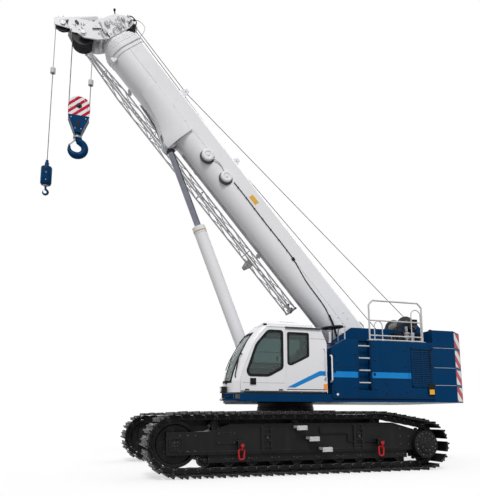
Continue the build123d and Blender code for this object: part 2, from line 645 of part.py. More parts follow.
def cab_shell():
    """Hollow shell: floor, walls, roof and pillars, open where doors and windows are."""
    shell = cab_solid(0, 0) - cab_solid(CAB_WALL, CAB_WALL)
    doorway = window_face([(DOOR_REAR_X + 70, 3105), (960, 3105), (1250, 2790), (1500, 2150),
                           (1540, 1950), (1540, CAB_FLOOR_Z + 80), (DOOR_REAR_X + 70, CAB_FLOOR_Z + 80)])
    shell -= stand_up(doorway, CAB_SKIN_Y - CAB_WALL - 5, CAB_SKIN_Y + 5)
    shell -= stand_up(window_face(REAR_WINDOW), CAB_SKIN_Y - CAB_WALL - 5, CAB_SKIN_Y + 5)
    shell -= stand_up(window_face(FAR_WINDOW), CAB_INNER_Y - 5, CAB_INNER_Y + CAB_WALL + 5)
    shell -= block(1100, CAB_FRONT_X + 200, CAB_INNER_Y + SCREEN_MARGIN, CAB_SKIN_Y - SCREEN_MARGIN,
                   *SCREEN_ZS)
    shell -= block(CAB_REAR_X - 5, CAB_REAR_X + CAB_WALL + 5, CAB_INNER_Y + 150, CAB_SKIN_Y - 150, 2250, 2820)
    return shell


def cab_rails():
    """Door rails along the rear of the side wall, above and below its panel."""
    y0 = CAB_SKIN_Y + SEAT_GAP
    return solids_of([
        block(CAB_REAR_X + 160, DOOR_REAR_X - 10, y0, y0 + DOOR_THICK, DOOR_TOP_Z + MOVE_GAP, CAB_ROOF_Z - 8),
        block(CAB_REAR_X + 30, DOOR_RAIL_FRONT_X, y0, y0 + DOOR_THICK, CAB_FLOOR_Z, DOOR_BOTTOM_Z - RUN_GAP),
    ])


def door_profile():
    return make_face(Wire([
        Line((DOOR_REAR_X, DOOR_BOTTOM_Z), (1650, DOOR_BOTTOM_Z)),
        Line((1650, DOOR_BOTTOM_Z), (1650, 1960)),
        Line((1650, 1960), (1560, 2260)),
        Line((1560, 2260), (1345, 2800)),
        Line((1345, 2800), (1060, DOOR_TOP_Z)),
        Line((1060, DOOR_TOP_Z), (DOOR_REAR_X, DOOR_TOP_Z)),
        Line((DOOR_REAR_X, DOOR_TOP_Z), (DOOR_REAR_X, DOOR_BOTTOM_Z)),
    ]))


DOOR_Y = CAB_SKIN_Y + MOVE_GAP


def cab_door():
    door = stand_up(door_profile(), DOOR_Y, DOOR_Y + DOOR_THICK)
    return door - stand_up(window_face(DOOR_WINDOW), DOOR_Y - 5, DOOR_Y + DOOR_THICK + 5)


def pane(points, y0):
    face = offset(window_face(points), -GLASS_GAP)
    return stand_up(face, y0, y0 + GLASS)


def cab_door_glass():
    return pane(DOOR_WINDOW, DOOR_Y + 12)


def cab_glass():
    """Windscreen and fixed panes, each set into its opening."""
    margin = SCREEN_MARGIN + GLASS_GAP
    screen = cab_solid(10, 0) - cab_solid(10 + GLASS, 0)
    screen = screen & block(1100, CAB_FRONT_X + 200, CAB_INNER_Y + margin, CAB_SKIN_Y - margin,
                            SCREEN_ZS[0] + GLASS_GAP, SCREEN_ZS[1] - GLASS_GAP)
    rear = block(CAB_REAR_X + 12, CAB_REAR_X + 12 + GLASS, CAB_INNER_Y + 150 + GLASS_GAP,
                 CAB_SKIN_Y - 150 - GLASS_GAP, 2250 + GLASS_GAP, 2820 - GLASS_GAP)
    return solids_of([screen, rear, pane(REAR_WINDOW, CAB_SKIN_Y - 24), pane(FAR_WINDOW, CAB_INNER_Y + 16)])


def cab_base():
    """Mounting frame between the deck and the cab's floor."""
    outer = block(CAB_REAR_X + 40, CAB_FRONT_X - 330, CAB_INNER_Y + 30, SIDE_Y - 65, CAB_BASE_Z + SEAT_GAP,
                  CAB_FLOOR_Z - SEAT_GAP)
    return outer - block(CAB_REAR_X + 160, CAB_FRONT_X - 450, CAB_INNER_Y + 150, SIDE_Y - 185,
                         CAB_BASE_Z - 1, CAB_FLOOR_Z + 1)


def roof_cap():
    """Low moulded cover on the cab's roof."""
    z0 = CAB_ROOF_Z + SEAT_GAP
    cap = block(-180, 1010, CAB_INNER_Y + 90, CAB_SKIN_Y - 110, z0, z0 + 130)
    top = cap.faces().sort_by(Axis.Z)[-1].edges()
    return chamfer(top, 60)


SEAT_X = 180.0
SEAT_Y = (CAB_INNER_Y + CAB_SKIN_Y) / 2
SEAT_Z = CAB_FLOOR_Z + 430.0


def operator_seat():
    """Pedestal, cushion, leaning back and headrest as one seat."""
    floor = CAB_FLOOR_Z + CAB_WALL + SEAT_GAP
    seat = block(SEAT_X - 160, SEAT_X + 160, SEAT_Y - 150, SEAT_Y + 150, floor, SEAT_Z)
    seat += block(SEAT_X - 240, SEAT_X + 270, SEAT_Y - 240, SEAT_Y + 240, SEAT_Z - 5, SEAT_Z + 110)
    back = side_plate([(SEAT_X - 230, SEAT_Z + 60), (SEAT_X - 120, SEAT_Z + 60), (SEAT_X - 210, SEAT_Z + 640),
                       (SEAT_X - 310, SEAT_Z + 640)], SEAT_Y - 230, SEAT_Y + 230)
    rest = block(SEAT_X - 320, SEAT_X - 220, SEAT_Y - 130, SEAT_Y + 130, SEAT_Z + 620, SEAT_Z + 800)
    return seat + back + rest


def control_console():
    """Arm consoles either side of the seat and the pedal board in front of it."""
    floor = CAB_FLOOR_Z + CAB_WALL + SEAT_GAP
    pieces = []
    for side in (1, -1):
        y = sorted((SEAT_Y + side * 262, SEAT_Y + side * 350))
        pieces.append(block(SEAT_X - 150, SEAT_X + 420, *y, floor, SEAT_Z + 230))
    board = side_plate([(1250, floor), (1640, floor), (1640, floor + 420), (1540, floor + 420), (1490, floor + 60),
                        (1250, floor + 40)], SEAT_Y - 200, SEAT_Y + 200)
    return solids_of(pieces + [board])


# ---- boom, in its own frame: +X along the boom, +Z its top side, origin at the pivot -----------
BOOM_AT = Location((PIVOT_X, 0, PIVOT_Z), (0, -BOOM_ANGLE, 0))


def from_boom(s, n):
    """Where a point of the boom's frame stands in the crane's frame, as (x, z)."""
    turn = math.radians(BOOM_ANGLE)
    return (PIVOT_X + s * math.cos(turn) - n * math.sin(turn),
            PIVOT_Z + s * math.sin(turn) + n * math.cos(turn))


def boom_face(step, s):
    """Flat-topped, round-bellied section, moved inwards by step, standing at s."""
    half = BOOM_WIDTH / 2 - step
    top = BOOM_TOP - step
    corner = max(60 - step / 2, 12)
    outline = Wire([
        Line((-half, BOOM_SEAM), (-half, top - corner)),
        Line((-half, top - corner), (-half + corner, top)),
        Line((-half + corner, top), (half - corner, top)),
        Line((half - corner, top), (half, top - corner)),
        Line((half, top - corner), (half, BOOM_SEAM)),
        ThreePointArc((half, BOOM_SEAM), (0, BOOM_SEAM - half), (-half, BOOM_SEAM)),
    ])
    return Plane(origin=(s, 0, 0), x_dir=(0, 1, 0), z_dir=(1, 0, 0)) * make_face(outline)


def boom_tube(step, wall, s0, s1):
    tube = extrude(boom_face(step, s0), s1 - s0, dir=(1, 0, 0))
    return tube - extrude(boom_face(step + wall, s0 - 1), s1 - s0 + 2, dir=(1, 0, 0))


def boom_base():
    """Outermost section with its foot plates, pivot bore and end collar."""
    base = boom_tube(0, BOOM_WALL, BASE_START, BASE_END)
    base += boom_tube(-22, 22 + BOOM_WALL, BASE_END - 120, BASE_END)
    half = BOOM_WIDTH / 2
    foot = side_face([(0, -FOOT_R), (BASE_START + 300, BOOM_SEAM - 120), (BASE_START + 300, BOOM_TOP - 80),
                      (0, FOOT_R)]) + Circle(FOOT_R)
    for y0, y1 in ((half - FOOT_PLATE, half), (-half, -half + FOOT_PLATE)):
        base += stand_up(foot, y0, y1)
    sleeve = ring_y(0, 0, PIVOT_PIN_R + 60, PIVOT_PIN_R, -half, half)
    base += sleeve
    bore = round_y(0, 0, PIVOT_PIN_R + BEARING_GAP, -half - 1, half + 1)
    return BOOM_AT * (base - bore)


def boom_section(index):
    """Sliding section; its collar stops against the end of the one outside it."""
    step = index * SECTION_STEP
    start = BASE_START + 330 + index * SECTION_SETBACK
    collar_start = BASE_END + (index - 1) * COLLAR + index * SEAT_GAP
    tube = boom_tube(step, BOOM_WALL, start, collar_start + COLLAR)
    pad = SECTION_STEP - BOOM_WALL - SEAT_GAP
    tube += boom_tube(step - pad, pad + BOOM_WALL, start, start + SLIDE_PAD)
    if index < SECTION_COUNT:
        tube += boom_tube(step - SECTION_STEP + 6, SECTION_STEP - 6 + BOOM_WALL, collar_start,
                          collar_start + COLLAR - SEAT_GAP)
    return BOOM_AT * tube


HEAD_START = BASE_END + (SECTION_COUNT - 1) * (COLLAR + SEAT_GAP)


def cylinder_bracket():
    """Saddle round the belly that carries the lift cylinder's upper pin."""
    cheek = side_face([(7190, -110), (7160, BOOM_BOTTOM - 95), (PIN_S - 110, PIN_N - 20),
                       (PIN_S - 60, PIN_N - 110), (PIN_S + 80, PIN_N - 140), (PIN_S + 170, PIN_N - 60),
                       (7900, BOOM_BOTTOM - 35), (8650, BOOM_BOTTOM + 155), (8650, -110)])
    half = BOOM_WIDTH / 2
    whole = stand_up(cheek, -half - 45, half + 45)
    skin = extrude(boom_face(-45, 7000), 1800, dir=(1, 0, 0))
    keel = block(6900, 8800, -BRACKET_HALF_Y, BRACKET_HALF_Y, PIN_N - 200, 0)
    bracket = whole & (skin + keel)
    bracket -= extrude(boom_face(-SEAT_GAP, 6900), 2000, dir=(1, 0, 0))
    slot = ROD_EYE_WIDTH / 2 + MOVE_GAP
    bracket -= block(6900, PIN_S + ROD_EYE_R + 200, -slot, slot, PIN_N - 400, BOOM_BOTTOM - SEAT_GAP)
    pin = round_y(PIN_S, PIN_N, PIN_R, -BRACKET_HALF_Y - 25, BRACKET_HALF_Y + 25)
    return BOOM_AT * (bracket + pin)


# ---- lift cylinder, in its own frame: origin at the upper pin, +X towards the foot --------------
PIN_X, PIN_Z = from_boom(PIN_S, PIN_N)
CYLINDER_LENGTH = math.hypot(FOOT_X - PIN_X, FOOT_Z - PIN_Z)
CYLINDER_LEAN = math.degrees(math.atan2(PIN_Z - FOOT_Z, PIN_X - FOOT_X))
CYLINDER_AT = Location((PIN_X, 0, PIN_Z), (0, 180 - CYLINDER_LEAN, 0))
BORE_END = CYLINDER_LENGTH - BARREL_BOTTOM
ROD_END = BORE_END - CLOSING_STROKE - MOVE_GAP


def bar_x(x0, x1, radius):
    return Pos((x0 + x1) / 2, 0, 0) * Rot(0, 90, 0) * Cylinder(radius, x1 - x0)


def lift_rod():
    """Chromed rod with the eye that turns on the boom's pin, and its piston."""
    rod = bar_x(ROD_EYE_R - 40, ROD_END, ROD_R)
    rod += bar_x(ROD_END - 120, ROD_END, BARREL_BORE_R - RUN_GAP)
    rod += round_y(0, 0, ROD_EYE_R, -ROD_EYE_WIDTH / 2, ROD_EYE_WIDTH / 2)
    return CYLINDER_AT * (rod - round_y(0, 0, PIN_R + BEARING_GAP, -200, 200))


def lift_barrel():
    """Barrel with gland at its head and the foot's eye, open round the foot's bosses."""
    start, end = BARREL_HEAD_FROM_PIN, CYLINDER_LENGTH - BARREL_EYE_R + 30
    barrel = bar_x(start, end, BARREL_R) - bar_x(start - 1, BORE_END, BARREL_BORE_R)
    barrel += bar_x(start, start + 110, BARREL_R + 5) - bar_x(start - 1, start + 111, ROD_R + RUN_GAP)
    barrel += round_y(CYLINDER_LENGTH, 0, BARREL_EYE_R, -BARREL_EYE_HALF, BARREL_EYE_HALF)
    return CYLINDER_AT * barrel


# ---- boom head ----------------------------------------------------------------------------
def boom_head():
    """Two side plates on an end plate, with cross plates and the sheave pins."""
    plate = side_face([
        (HEAD_START, -330), (HEAD_START, 330), (TOP_SHEAVE_S - 90, TOP_SHEAVE_N + 90),
        (TOP_SHEAVE_S + 90, TOP_SHEAVE_N + 90), (10700, 250), (10760, -230),
        (MAIN_SHEAVE_S + 140, MAIN_SHEAVE_N + 40), (MAIN_SHEAVE_S + 40, MAIN_SHEAVE_N - 120),
        (MAIN_SHEAVE_S - 120, MAIN_SHEAVE_N - 60), (MAIN_SHEAVE_S - 330, -560),
    ])
    head = extrude(boom_face((SECTION_COUNT - 1) * SECTION_STEP, HEAD_START), 50, dir=(1, 0, 0))
    outer = HEAD_HALF_Y
    for y0, y1 in ((outer - HEAD_PLATE, outer), (-outer, -outer + HEAD_PLATE)):
        head += stand_up(plate, y0, y1)
    inner = outer - HEAD_PLATE + 2
    head += block(HEAD_START + 40, 10330, -inner, inner, -520, -480)
    head += block(HEAD_START + 40, 10520, -inner, inner, -40, 0)
    sheaves = ((MAIN_SHEAVE_S, MAIN_SHEAVE_N), (TOP_SHEAVE_S, TOP_SHEAVE_N))
    for s, n in sheaves:
        head += round_y(s, n, SHEAVE_PIN_R, -outer - 30, outer + 30)
    head += block(NOSE_SEAT_S - 100, NOSE_SEAT_S, -inner, inner, -240, -80)
    return BOOM_AT * head


def sheave(s, n, radius, y):
    """Grooved rope wheel with a bored hub."""
    half = SHEAVE_WIDTH / 2
    wheel = round_y(s, n, radius, y - half, y + half)
    groove = radius - ROPE_SEAT - ROPE_R - SEAT_GAP
    wheel -= ring_y(s, n, radius + 20, groove, y - GROOVE_HALF, y + GROOVE_HALF)
    return wheel - round_y(s, n, SHEAVE_PIN_R + SEAT_GAP, y - half - 1, y + half + 1)


def head_sheaves():
    wheels = [sheave(MAIN_SHEAVE_S, MAIN_SHEAVE_N, SHEAVE_R, y) for y in SHEAVE_YS]
    wheels += [sheave(TOP_SHEAVE_S, TOP_SHEAVE_N, TOP_SHEAVE_R, y) for y in (-60, 60)]
    wheels.append(sheave(AUX_SHEAVE_S, AUX_SHEAVE_N, AUX_SHEAVE_R, 0))
    return BOOM_AT * solids_of(wheels)


def rooster_nose():
    """Single-sheave nose that carries the whip line ahead of the main sheaves."""
    seat = NOSE_SEAT_S + SEAT_GAP
    plate = side_face([(seat + 40, -70), (seat + 230, -95), (AUX_SHEAVE_S + 220, AUX_SHEAVE_N - 105),
                       (AUX_SHEAVE_S + 60, AUX_SHEAVE_N - 195), (10950, -850), (10905, -640), (seat + 40, -400)])
    nose = stand_up(plate, NOSE_HALF_Y - 25, NOSE_HALF_Y) + stand_up(plate, -NOSE_HALF_Y, -NOSE_HALF_Y + 25)
    nose += block(seat, seat + 60, -HEAD_HALF_Y + HEAD_PLATE + 10, HEAD_HALF_Y - HEAD_PLATE - 10, -235, -85)
    nose += round_y(AUX_SHEAVE_S, AUX_SHEAVE_N, SHEAVE_PIN_R, -NOSE_HALF_Y - 20, NOSE_HALF_Y + 20)
    return BOOM_AT * nose


# ---- swing-away jib ---------------------------------------------------------------------------
def jib_corners(s):
    """The four chords' places at s; they draw together past the taper's start."""
    close = max(0.0, (s - JIB_TAPER_S) / (JIB_END - JIB_TAPER_S)) * 0.55
    mid_y, mid_n = (JIB_INNER_Y + JIB_OUTER_Y) / 2, (JIB_LOW_N + JIB_HIGH_N) / 2
    half_y = (JIB_INNER_Y - JIB_OUTER_Y) / 2 * (1 - close)
    half_n = (JIB_HIGH_N - JIB_LOW_N) / 2 * (1 - close)
    signs = ((1, 1), (-1, 1), (-1, -1), (1, -1))
    return [(s, mid_y + a * half_y, mid_n + b * half_n) for a, b in signs]


def lattice_jib():
    """Four tube chords with lacing on each face and a plate at each end."""
    stations = [JIB_START + (JIB_TAPER_S - JIB_START) * i / (JIB_PANELS - 2) for i in range(JIB_PANELS - 1)]
    stations += [(JIB_TAPER_S + JIB_END) / 2, JIB_END]
    corners = [jib_corners(s) for s in stations]
    pieces = []
    for k in range(4):
        pieces.append(strut(corners[0][k], corners[-3][k], JIB_CHORD))
        pieces.append(strut(corners[-3][k], corners[-1][k], JIB_CHORD))
        for i in range(len(stations) - 1):
            near, far = (k, (k + 1) % 4) if i % 2 == 0 else ((k + 1) % 4, k)
            start, end = Vector(corners[i][near]), Vector(corners[i + 1][far])
            apart = Vector(JIB_LACE_APART, 0, 0)
            pieces.append(strut(start + apart, end - apart, JIB_LACE))
    for ring_corners in (corners[0], corners[-1]):
        (s, y0, n0), (_, y1, n1) = ring_corners[2], ring_corners[0]
        pieces.append(block(s - 20, s + 20, y0 - 30, y1 + 30, n0 - 30, n1 + 30))
    return BOOM_AT * merged(pieces)


def jib_brackets():
    """Arms off the boom's right side that hold the stowed jib by its upper inner chord."""
    arms = []
    for s in JIB_BRACKET_S:
        _, y, n = jib_corners(s)[0]
        side = -BOOM_WIDTH / 2 - SEAT_GAP
        shelf = n + JIB_CHORD / 2 + SEAT_GAP
        arm = block(s - 60, s + 60, side - 14, side, shelf, JIB_BRACKET_TOP_N)
        arm += block(s - 40, s + 40, y - JIB_CHORD / 2 - 30, side - 5, shelf, shelf + 50)
        arms.append(arm)
    return BOOM_AT * solids_of(arms)


# ---- hooks --------------------------------------------------------------------------------------
MAIN_X, MAIN_Z = from_boom(MAIN_SHEAVE_S, MAIN_SHEAVE_N)
AUX_X, AUX_Z = from_boom(AUX_SHEAVE_S, AUX_SHEAVE_N)
FALL_REACH = SHEAVE_R - ROPE_SEAT
WHIP_X = AUX_X + AUX_SHEAVE_R - ROPE_SEAT
BLOCK_SHEAVE_YS = SHEAVE_YS[1:3]


def hook_block():
    """Cheek plates round two sheaves, with a heavy tapered body below them."""
    half = SHEAVE_R - 10
    cheek = side_face([(MAIN_X - half + 60, BLOCK_TOP_Z), (MAIN_X + half - 60, BLOCK_TOP_Z),
                       (MAIN_X + half, BLOCK_TOP_Z - 80), (MAIN_X + half, BLOCK_PIN_Z - 90),
                       (MAIN_X + 130, BLOCK_BOTTOM_Z), (MAIN_X - 130, BLOCK_BOTTOM_Z),
                       (MAIN_X - half, BLOCK_PIN_Z - 90), (MAIN_X - half, BLOCK_TOP_Z - 80)])
    body = BLOCK_PIN_Z - SHEAVE_R - 25
    assembly = stand_up(cheek, -BLOCK_HALF_Y, BLOCK_HALF_Y)
    inner = BLOCK_HALF_Y - BLOCK_PLATE
    assembly -= block(MAIN_X - 400, MAIN_X + 400, -inner, inner, body, BLOCK_TOP_Z + 10)
    assembly += round_y(MAIN_X, BLOCK_PIN_Z, SHEAVE_PIN_R, -BLOCK_HALF_Y - 30, BLOCK_HALF_Y + 30)
    return assembly


def block_sheaves():
    return solids_of([sheave(MAIN_X, BLOCK_PIN_Z, SHEAVE_R, y) for y in BLOCK_SHEAVE_YS])


def main_rope_falls():
    """The four parts of the hoist rope between the head's sheaves and the hook block."""
    places = [(MAIN_X + side * FALL_REACH, y) for side in (1, -1) for y in BLOCK_SHEAVE_YS]
    return solids_of([bar((x, y, BLOCK_PIN_Z), (x, y, MAIN_Z), ROPE_R) for x, y in places])


def hook_shape(x, top, bottom, size, thick):
    """Crane hook hanging from a round shank, opening towards the front."""
    centre_z = bottom + size * 1.55
    bowl = Pos(x, centre_z) * (Circle(size * 1.5) - Circle(size * 0.72))
    mouth = Polyline((x + size * 0.1, centre_z + size * 0.1), (x + size * 2, centre_z + size * 0.1),
                     (x + size * 2, centre_z + size * 2), (x + size * 0.1, centre_z + size * 2), close=True)
    hook = stand_up(bowl - make_face(mouth), -thick / 2, thick / 2)
    neck = block(x - size * 0.6, x + size * 0.35, -thick / 2, thick / 2, centre_z + size * 0.8, top - 60)
    shank = Pos(x, 0, (top + centre_z + size * 1.2) / 2) * Cylinder(size * 0.42, top - centre_z - size * 1.2)
    return hook + neck + shank


def main_hook():
    return hook_shape(MAIN_X, BLOCK_BOTTOM_Z - SEAT_GAP, MAIN_HOOK_BOTTOM_Z, 115.0, 90.0)


def whip_ball():
    """Cylindrical headache ball with its rope socket."""
    straight = WHIP_BALL_TOP_Z - WHIP_BALL_BOTTOM_Z - 90
    ball = Pos(WHIP_X, 0, WHIP_BALL_BOTTOM_Z + 60 + straight / 2) * Cylinder(WHIP_BALL_R, straight)
    ball += Pos(WHIP_X, 0, WHIP_BALL_BOTTOM_Z + 30) * Cone(WHIP_BALL_R - 60, WHIP_BALL_R, 60)
    top = WHIP_BALL_BOTTOM_Z + 60 + straight
    ball += Pos(WHIP_X, 0, top + 15) * Cone(WHIP_BALL_R, WHIP_BALL_R - 60, 30)
    ball += Pos(WHIP_X, 0, top + 30 + 85) * Cone(55, 26, 170)
    return ball + bar((WHIP_X, 0, top + 150), (WHIP_X, 0, AUX_Z), ROPE_R)


def whip_hook():
    return hook_shape(WHIP_X, WHIP_BALL_BOTTOM_Z - SEAT_GAP, WHIP_HOOK_BOTTOM_Z, 58.0, 50.0)


def hoist_limit_weight(x, y, z, pin_x, pin_z):
    """Weight round the rope that trips the limit switch, on two rods hung from the sheave pin."""
    weight = Pos(x, y, z) * (Cylinder(62, 130) - Cylinder(26, 140))
    for side in (1, -1):
        rod_y = y + side * LIMIT_ROD_REACH
        weight += bar((x, rod_y, z + 50), (x, rod_y, pin_z), 6)
        weight += block(*sorted((x, pin_x)), rod_y - 4, rod_y + 4, pin_z - 14, pin_z + 14)
        weight += round_y(pin_x, pin_z, SHEAVE_PIN_R + 26, rod_y - 4, rod_y + 4)
    return weight - round_y(pin_x, pin_z, SHEAVE_PIN_R + BEARING_GAP, y - 80, y + 80)


# ---- the nodes ----------------------------------------------------------------------------------
def build_nodes():
    nodes = {
        "carbody": carbody(),
        "slew_ring_fixed": ring(CARBODY_TOP_Z + 20, RING_SPLIT_Z, RING_OUTER_R, RING_INNER_R),
        "slew_ring_turning": ring(RING_SPLIT_Z + SEAT_GAP, DECK_Z, RING_OUTER_R - 20, RING_INNER_R),
        "turntable_frame": turntable_frame(),
        "boom_pivot_pin": pivot_pin(),
        "housing_left": housing(True),
        "housing_right": mirrored(housing(False)),
        "boarding_ladder": boarding_ladder(),
        "counterweight_slabs": counterweight(),
        "engine_block": engine(),
        "hydraulic_tank": hydraulic_tank(),
        "handrail_left": handrail(1),
        "handrail_right": handrail(-1),
        "exhaust_silencer": exhaust(),
        "mirror_left": mirror_and_stalk(),
        "cab_base": cab_base(),
        "cab_shell": cab_shell(),
        "cab_door_rails": cab_rails(),
        "cab_glass": cab_glass(),
        "cab_roof_cap": roof_cap(),
        "cab_door": cab_door(),
        "cab_door_glass": cab_door_glass(),
        "operator_seat": operator_seat(),
        "control_console": control_console(),
        "boom_base": boom_base(),
        "lift_cylinder_bracket": cylinder_bracket(),
        "lift_cylinder_rod": lift_rod(),
        "lift_cylinder_barrel": lift_barrel(),
        "boom_head": boom_head(),
        "head_sheaves": head_sheaves(),
        "rooster_nose": rooster_nose(),
        "lattice_jib": lattice_jib(),
        "jib_brackets": jib_brackets(),
        "hook_block": hook_block(),
        "hook_block_sheaves": block_sheaves(),
        "main_hook": main_hook(),
        "main_rope_falls": main_rope_falls(),
        "hoist_limit_weight_main": hoist_limit_weight(MAIN_X - FALL_REACH, BLOCK_SHEAVE_YS[1],
                                                      LIMIT_WEIGHT_MAIN_Z, MAIN_X, MAIN_Z),
        "hoist_limit_weight_whip": hoist_limit_weight(WHIP_X, 0, LIMIT_WEIGHT_WHIP_Z, AUX_X, AUX_Z),
        "whip_ball": whip_ball(),
        "whip_hook": whip_hook(),
    }
    for name, x, z in WINCH_TABLE:
        nodes[f"winch_{name}"] = winch(x, z)
    for index in range(1, SECTION_COUNT):
        nodes[f"boom_section_{index + 1}"] = boom_section(index)
    track = {"frame": track_frame(), "shoes": track_shoes(), "drive": track_drive(),
             "idler": track_idler(), "rollers": track_rollers(), "steps": track_steps()}
    for piece, shape in track.items():
        nodes[f"track_{piece}_left"] = shape
        nodes[f"track_{piece}_right"] = mirrored(shape)
    return nodes


def main():
    nodes = build_nodes()
    boxes = [shape.bounding_box() for shape in nodes.values()]
    middle_x = (min(box.min.X for box in boxes) + max(box.max.X for box in boxes)) / 2
    middle_y = (min(box.min.Y for box in boxes) + max(box.max.Y for box in boxes)) / 2
    lowest = min(box.min.Z for box in boxes)
    to_origin = Pos(-middle_x, -middle_y, -lowest)
    os.makedirs("parts", exist_ok=True)
    for name, shape in nodes.items():
        export_step(to_origin * shape, f"parts/{name}.step")
    print(f"slew axis at x {-middle_x:.3f}, y {-middle_y:.3f}, lifted {-lowest:.3f}")


main()
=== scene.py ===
import bmesh
import bpy
import json
from math import acos, atan2, ceil, cos, dist, exp, hypot, pi, radians, sin
from mathutils import Matrix, Vector


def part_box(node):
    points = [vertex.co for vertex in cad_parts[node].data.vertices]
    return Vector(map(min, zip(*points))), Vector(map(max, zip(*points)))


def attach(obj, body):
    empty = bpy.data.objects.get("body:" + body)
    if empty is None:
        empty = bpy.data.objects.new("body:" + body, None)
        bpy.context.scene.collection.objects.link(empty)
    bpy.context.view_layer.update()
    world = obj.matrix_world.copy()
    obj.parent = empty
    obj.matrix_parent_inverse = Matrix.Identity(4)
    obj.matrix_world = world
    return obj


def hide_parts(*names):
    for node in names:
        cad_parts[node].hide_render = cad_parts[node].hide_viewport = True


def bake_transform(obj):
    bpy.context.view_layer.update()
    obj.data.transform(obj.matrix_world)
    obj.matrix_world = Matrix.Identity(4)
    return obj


# Looks of the telescopic crawler crane. Lengths are metres about the slewing axis: +X to the
# front, +Y to the left, +Z up, ground at Z = 0. A piece is moved to the row frame when it is made.

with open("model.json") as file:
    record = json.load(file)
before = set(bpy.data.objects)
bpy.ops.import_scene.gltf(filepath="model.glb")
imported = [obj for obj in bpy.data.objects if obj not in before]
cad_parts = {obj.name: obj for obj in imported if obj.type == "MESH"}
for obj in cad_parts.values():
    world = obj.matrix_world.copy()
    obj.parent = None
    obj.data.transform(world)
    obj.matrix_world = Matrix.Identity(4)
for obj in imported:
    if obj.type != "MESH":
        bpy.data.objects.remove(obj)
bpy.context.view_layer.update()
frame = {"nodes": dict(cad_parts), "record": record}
ring_low, ring_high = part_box("slew_ring_fixed")
AXIS_X = (ring_low.x + ring_high.x) / 2
SIDES = (("left", 1), ("right", -1))

# ---- boom frame: x along the boom, z its top side, origin at the pivot ----------------------
PIVOT = (-2.15, 2.95)
BOOM_ANGLE = radians(49.5)
BOOM = Matrix.Translation((PIVOT[0], 0, PIVOT[1])) @ Matrix.Rotation(-BOOM_ANGLE, 4, "Y")


def on_boom(s, y, n):
    return BOOM @ Vector((s, y, n))


# ---- materials ------------------------------------------------------------------------------
COAT_ROUGH = 0.12
BUMP_STRENGTH = 0.6
EDGE_FROM, EDGE_TO = 0.985, 0.82     # how far the rounded normal leaves the face on an edge
BAR_RED, BAR_WHITE = (0.46, 0.01, 0.035), (0.72, 0.72, 0.73)


def feed(tree, socket, value):
    """Link another node's output to a socket, or set the socket to a constant."""
    if isinstance(value, bpy.types.NodeSocket):
        tree.links.new(value, socket)
    else:
        socket.default_value = value


def wired(tree, kind, sockets=(), out=0, **settings):
    """Add a node, feed its inputs and give one of its outputs."""
    made = tree.nodes.new("ShaderNode" + kind)
    for key, value in settings.items():
        setattr(made, key, value)
    for key, value in dict(sockets).items():
        feed(tree, made.inputs[key], value)
    return made.outputs[out]


class Look:
    """A node material: a shader, and masks that vary its colour, roughness and surface."""

    def __init__(self, name, colour, rough=0.5, metal=0.0, coat=0.0, specular=0.5):
        self.mat = bpy.data.materials.new(name)
        self.mat.use_nodes = True
        self.tree = self.mat.node_tree
        self.set({"Metallic": metal, "Coat Weight": coat, "Coat Roughness": COAT_ROUGH,
                  "Specular IOR Level": specular})
        self.rough = rough
        self.colour = colour
        self.place = self.node("TexCoord", out="Object")
        self.bevel = None
        self.height = []

    def set(self, sockets):
        for name, value in sockets.items():
            feed(self.tree, self.tree.nodes["Principled BSDF"].inputs[name], value)

    def node(self, kind, sockets=(), out=0, **settings):
        return wired(self.tree, kind, sockets, out, **settings)

    def math(self, operation, a, b=0.0):
        return self.node("Math", {0: a, 1: b}, operation=operation)

    def times(self, a, b):
        return self.math("MULTIPLY", a, b)

    def cut(self, value, low, high):
        """0 up to the low level, 1 from the high one."""
        return self.node("MapRange", {"Value": value, "From Min": low, "From Max": high})

    def dot(self, a, b):
        return self.node("VectorMath", {0: a, 1: b}, "Value", operation="DOT_PRODUCT")

    def noise(self, scale, stretch=(1, 1, 1), detail=4.0, low=0.0, high=1.0):
        """Noise in object space, cut to 0..1 between the two levels."""
        place = self.node("Mapping", {"Vector": self.place, "Scale": stretch})
        return self.cut(self.node("TexNoise", {"Vector": place, "Scale": scale, "Detail": detail}), low, high)

    def mix(self, mask, colour):
        """Lay a colour over the look's colour where the mask is 1."""
        under = (*self.colour, 1) if isinstance(self.colour, tuple) else self.colour
        self.colour = self.node("Mix", {"Factor": mask, "A": under, "B": (*colour, 1)}, "Result", data_type="RGBA")

    def edges(self, radius):
        """1 on sharp edges, 0 on flats; the same node also rounds the shading."""
        self.bevel = self.node("Bevel", {"Radius": radius}, samples=4)
        return self.cut(self.dot(self.bevel, self.node("NewGeometry", out="Normal")), EDGE_FROM, EDGE_TO)

    def bump(self, height, distance):
        self.height.append((height, distance))

    def done(self, rough_mask=None, rough_span=0.12):
        normal = self.bevel
        for height, distance in self.height:
            sockets = {"Strength": BUMP_STRENGTH, "Distance": distance, "Height": height}
            if normal:
                sockets["Normal"] = normal
            normal = self.node("Bump", sockets)
        if rough_mask:
            self.rough = self.math("ADD", self.times(rough_mask, rough_span), self.rough - rough_span / 2)
        self.set({"Base Color": self.colour, "Roughness": self.rough, "Normal": normal})
        return self.mat


def shaded(colour, by, plus=0.0):
    return tuple(c * by + plus for c in colour)


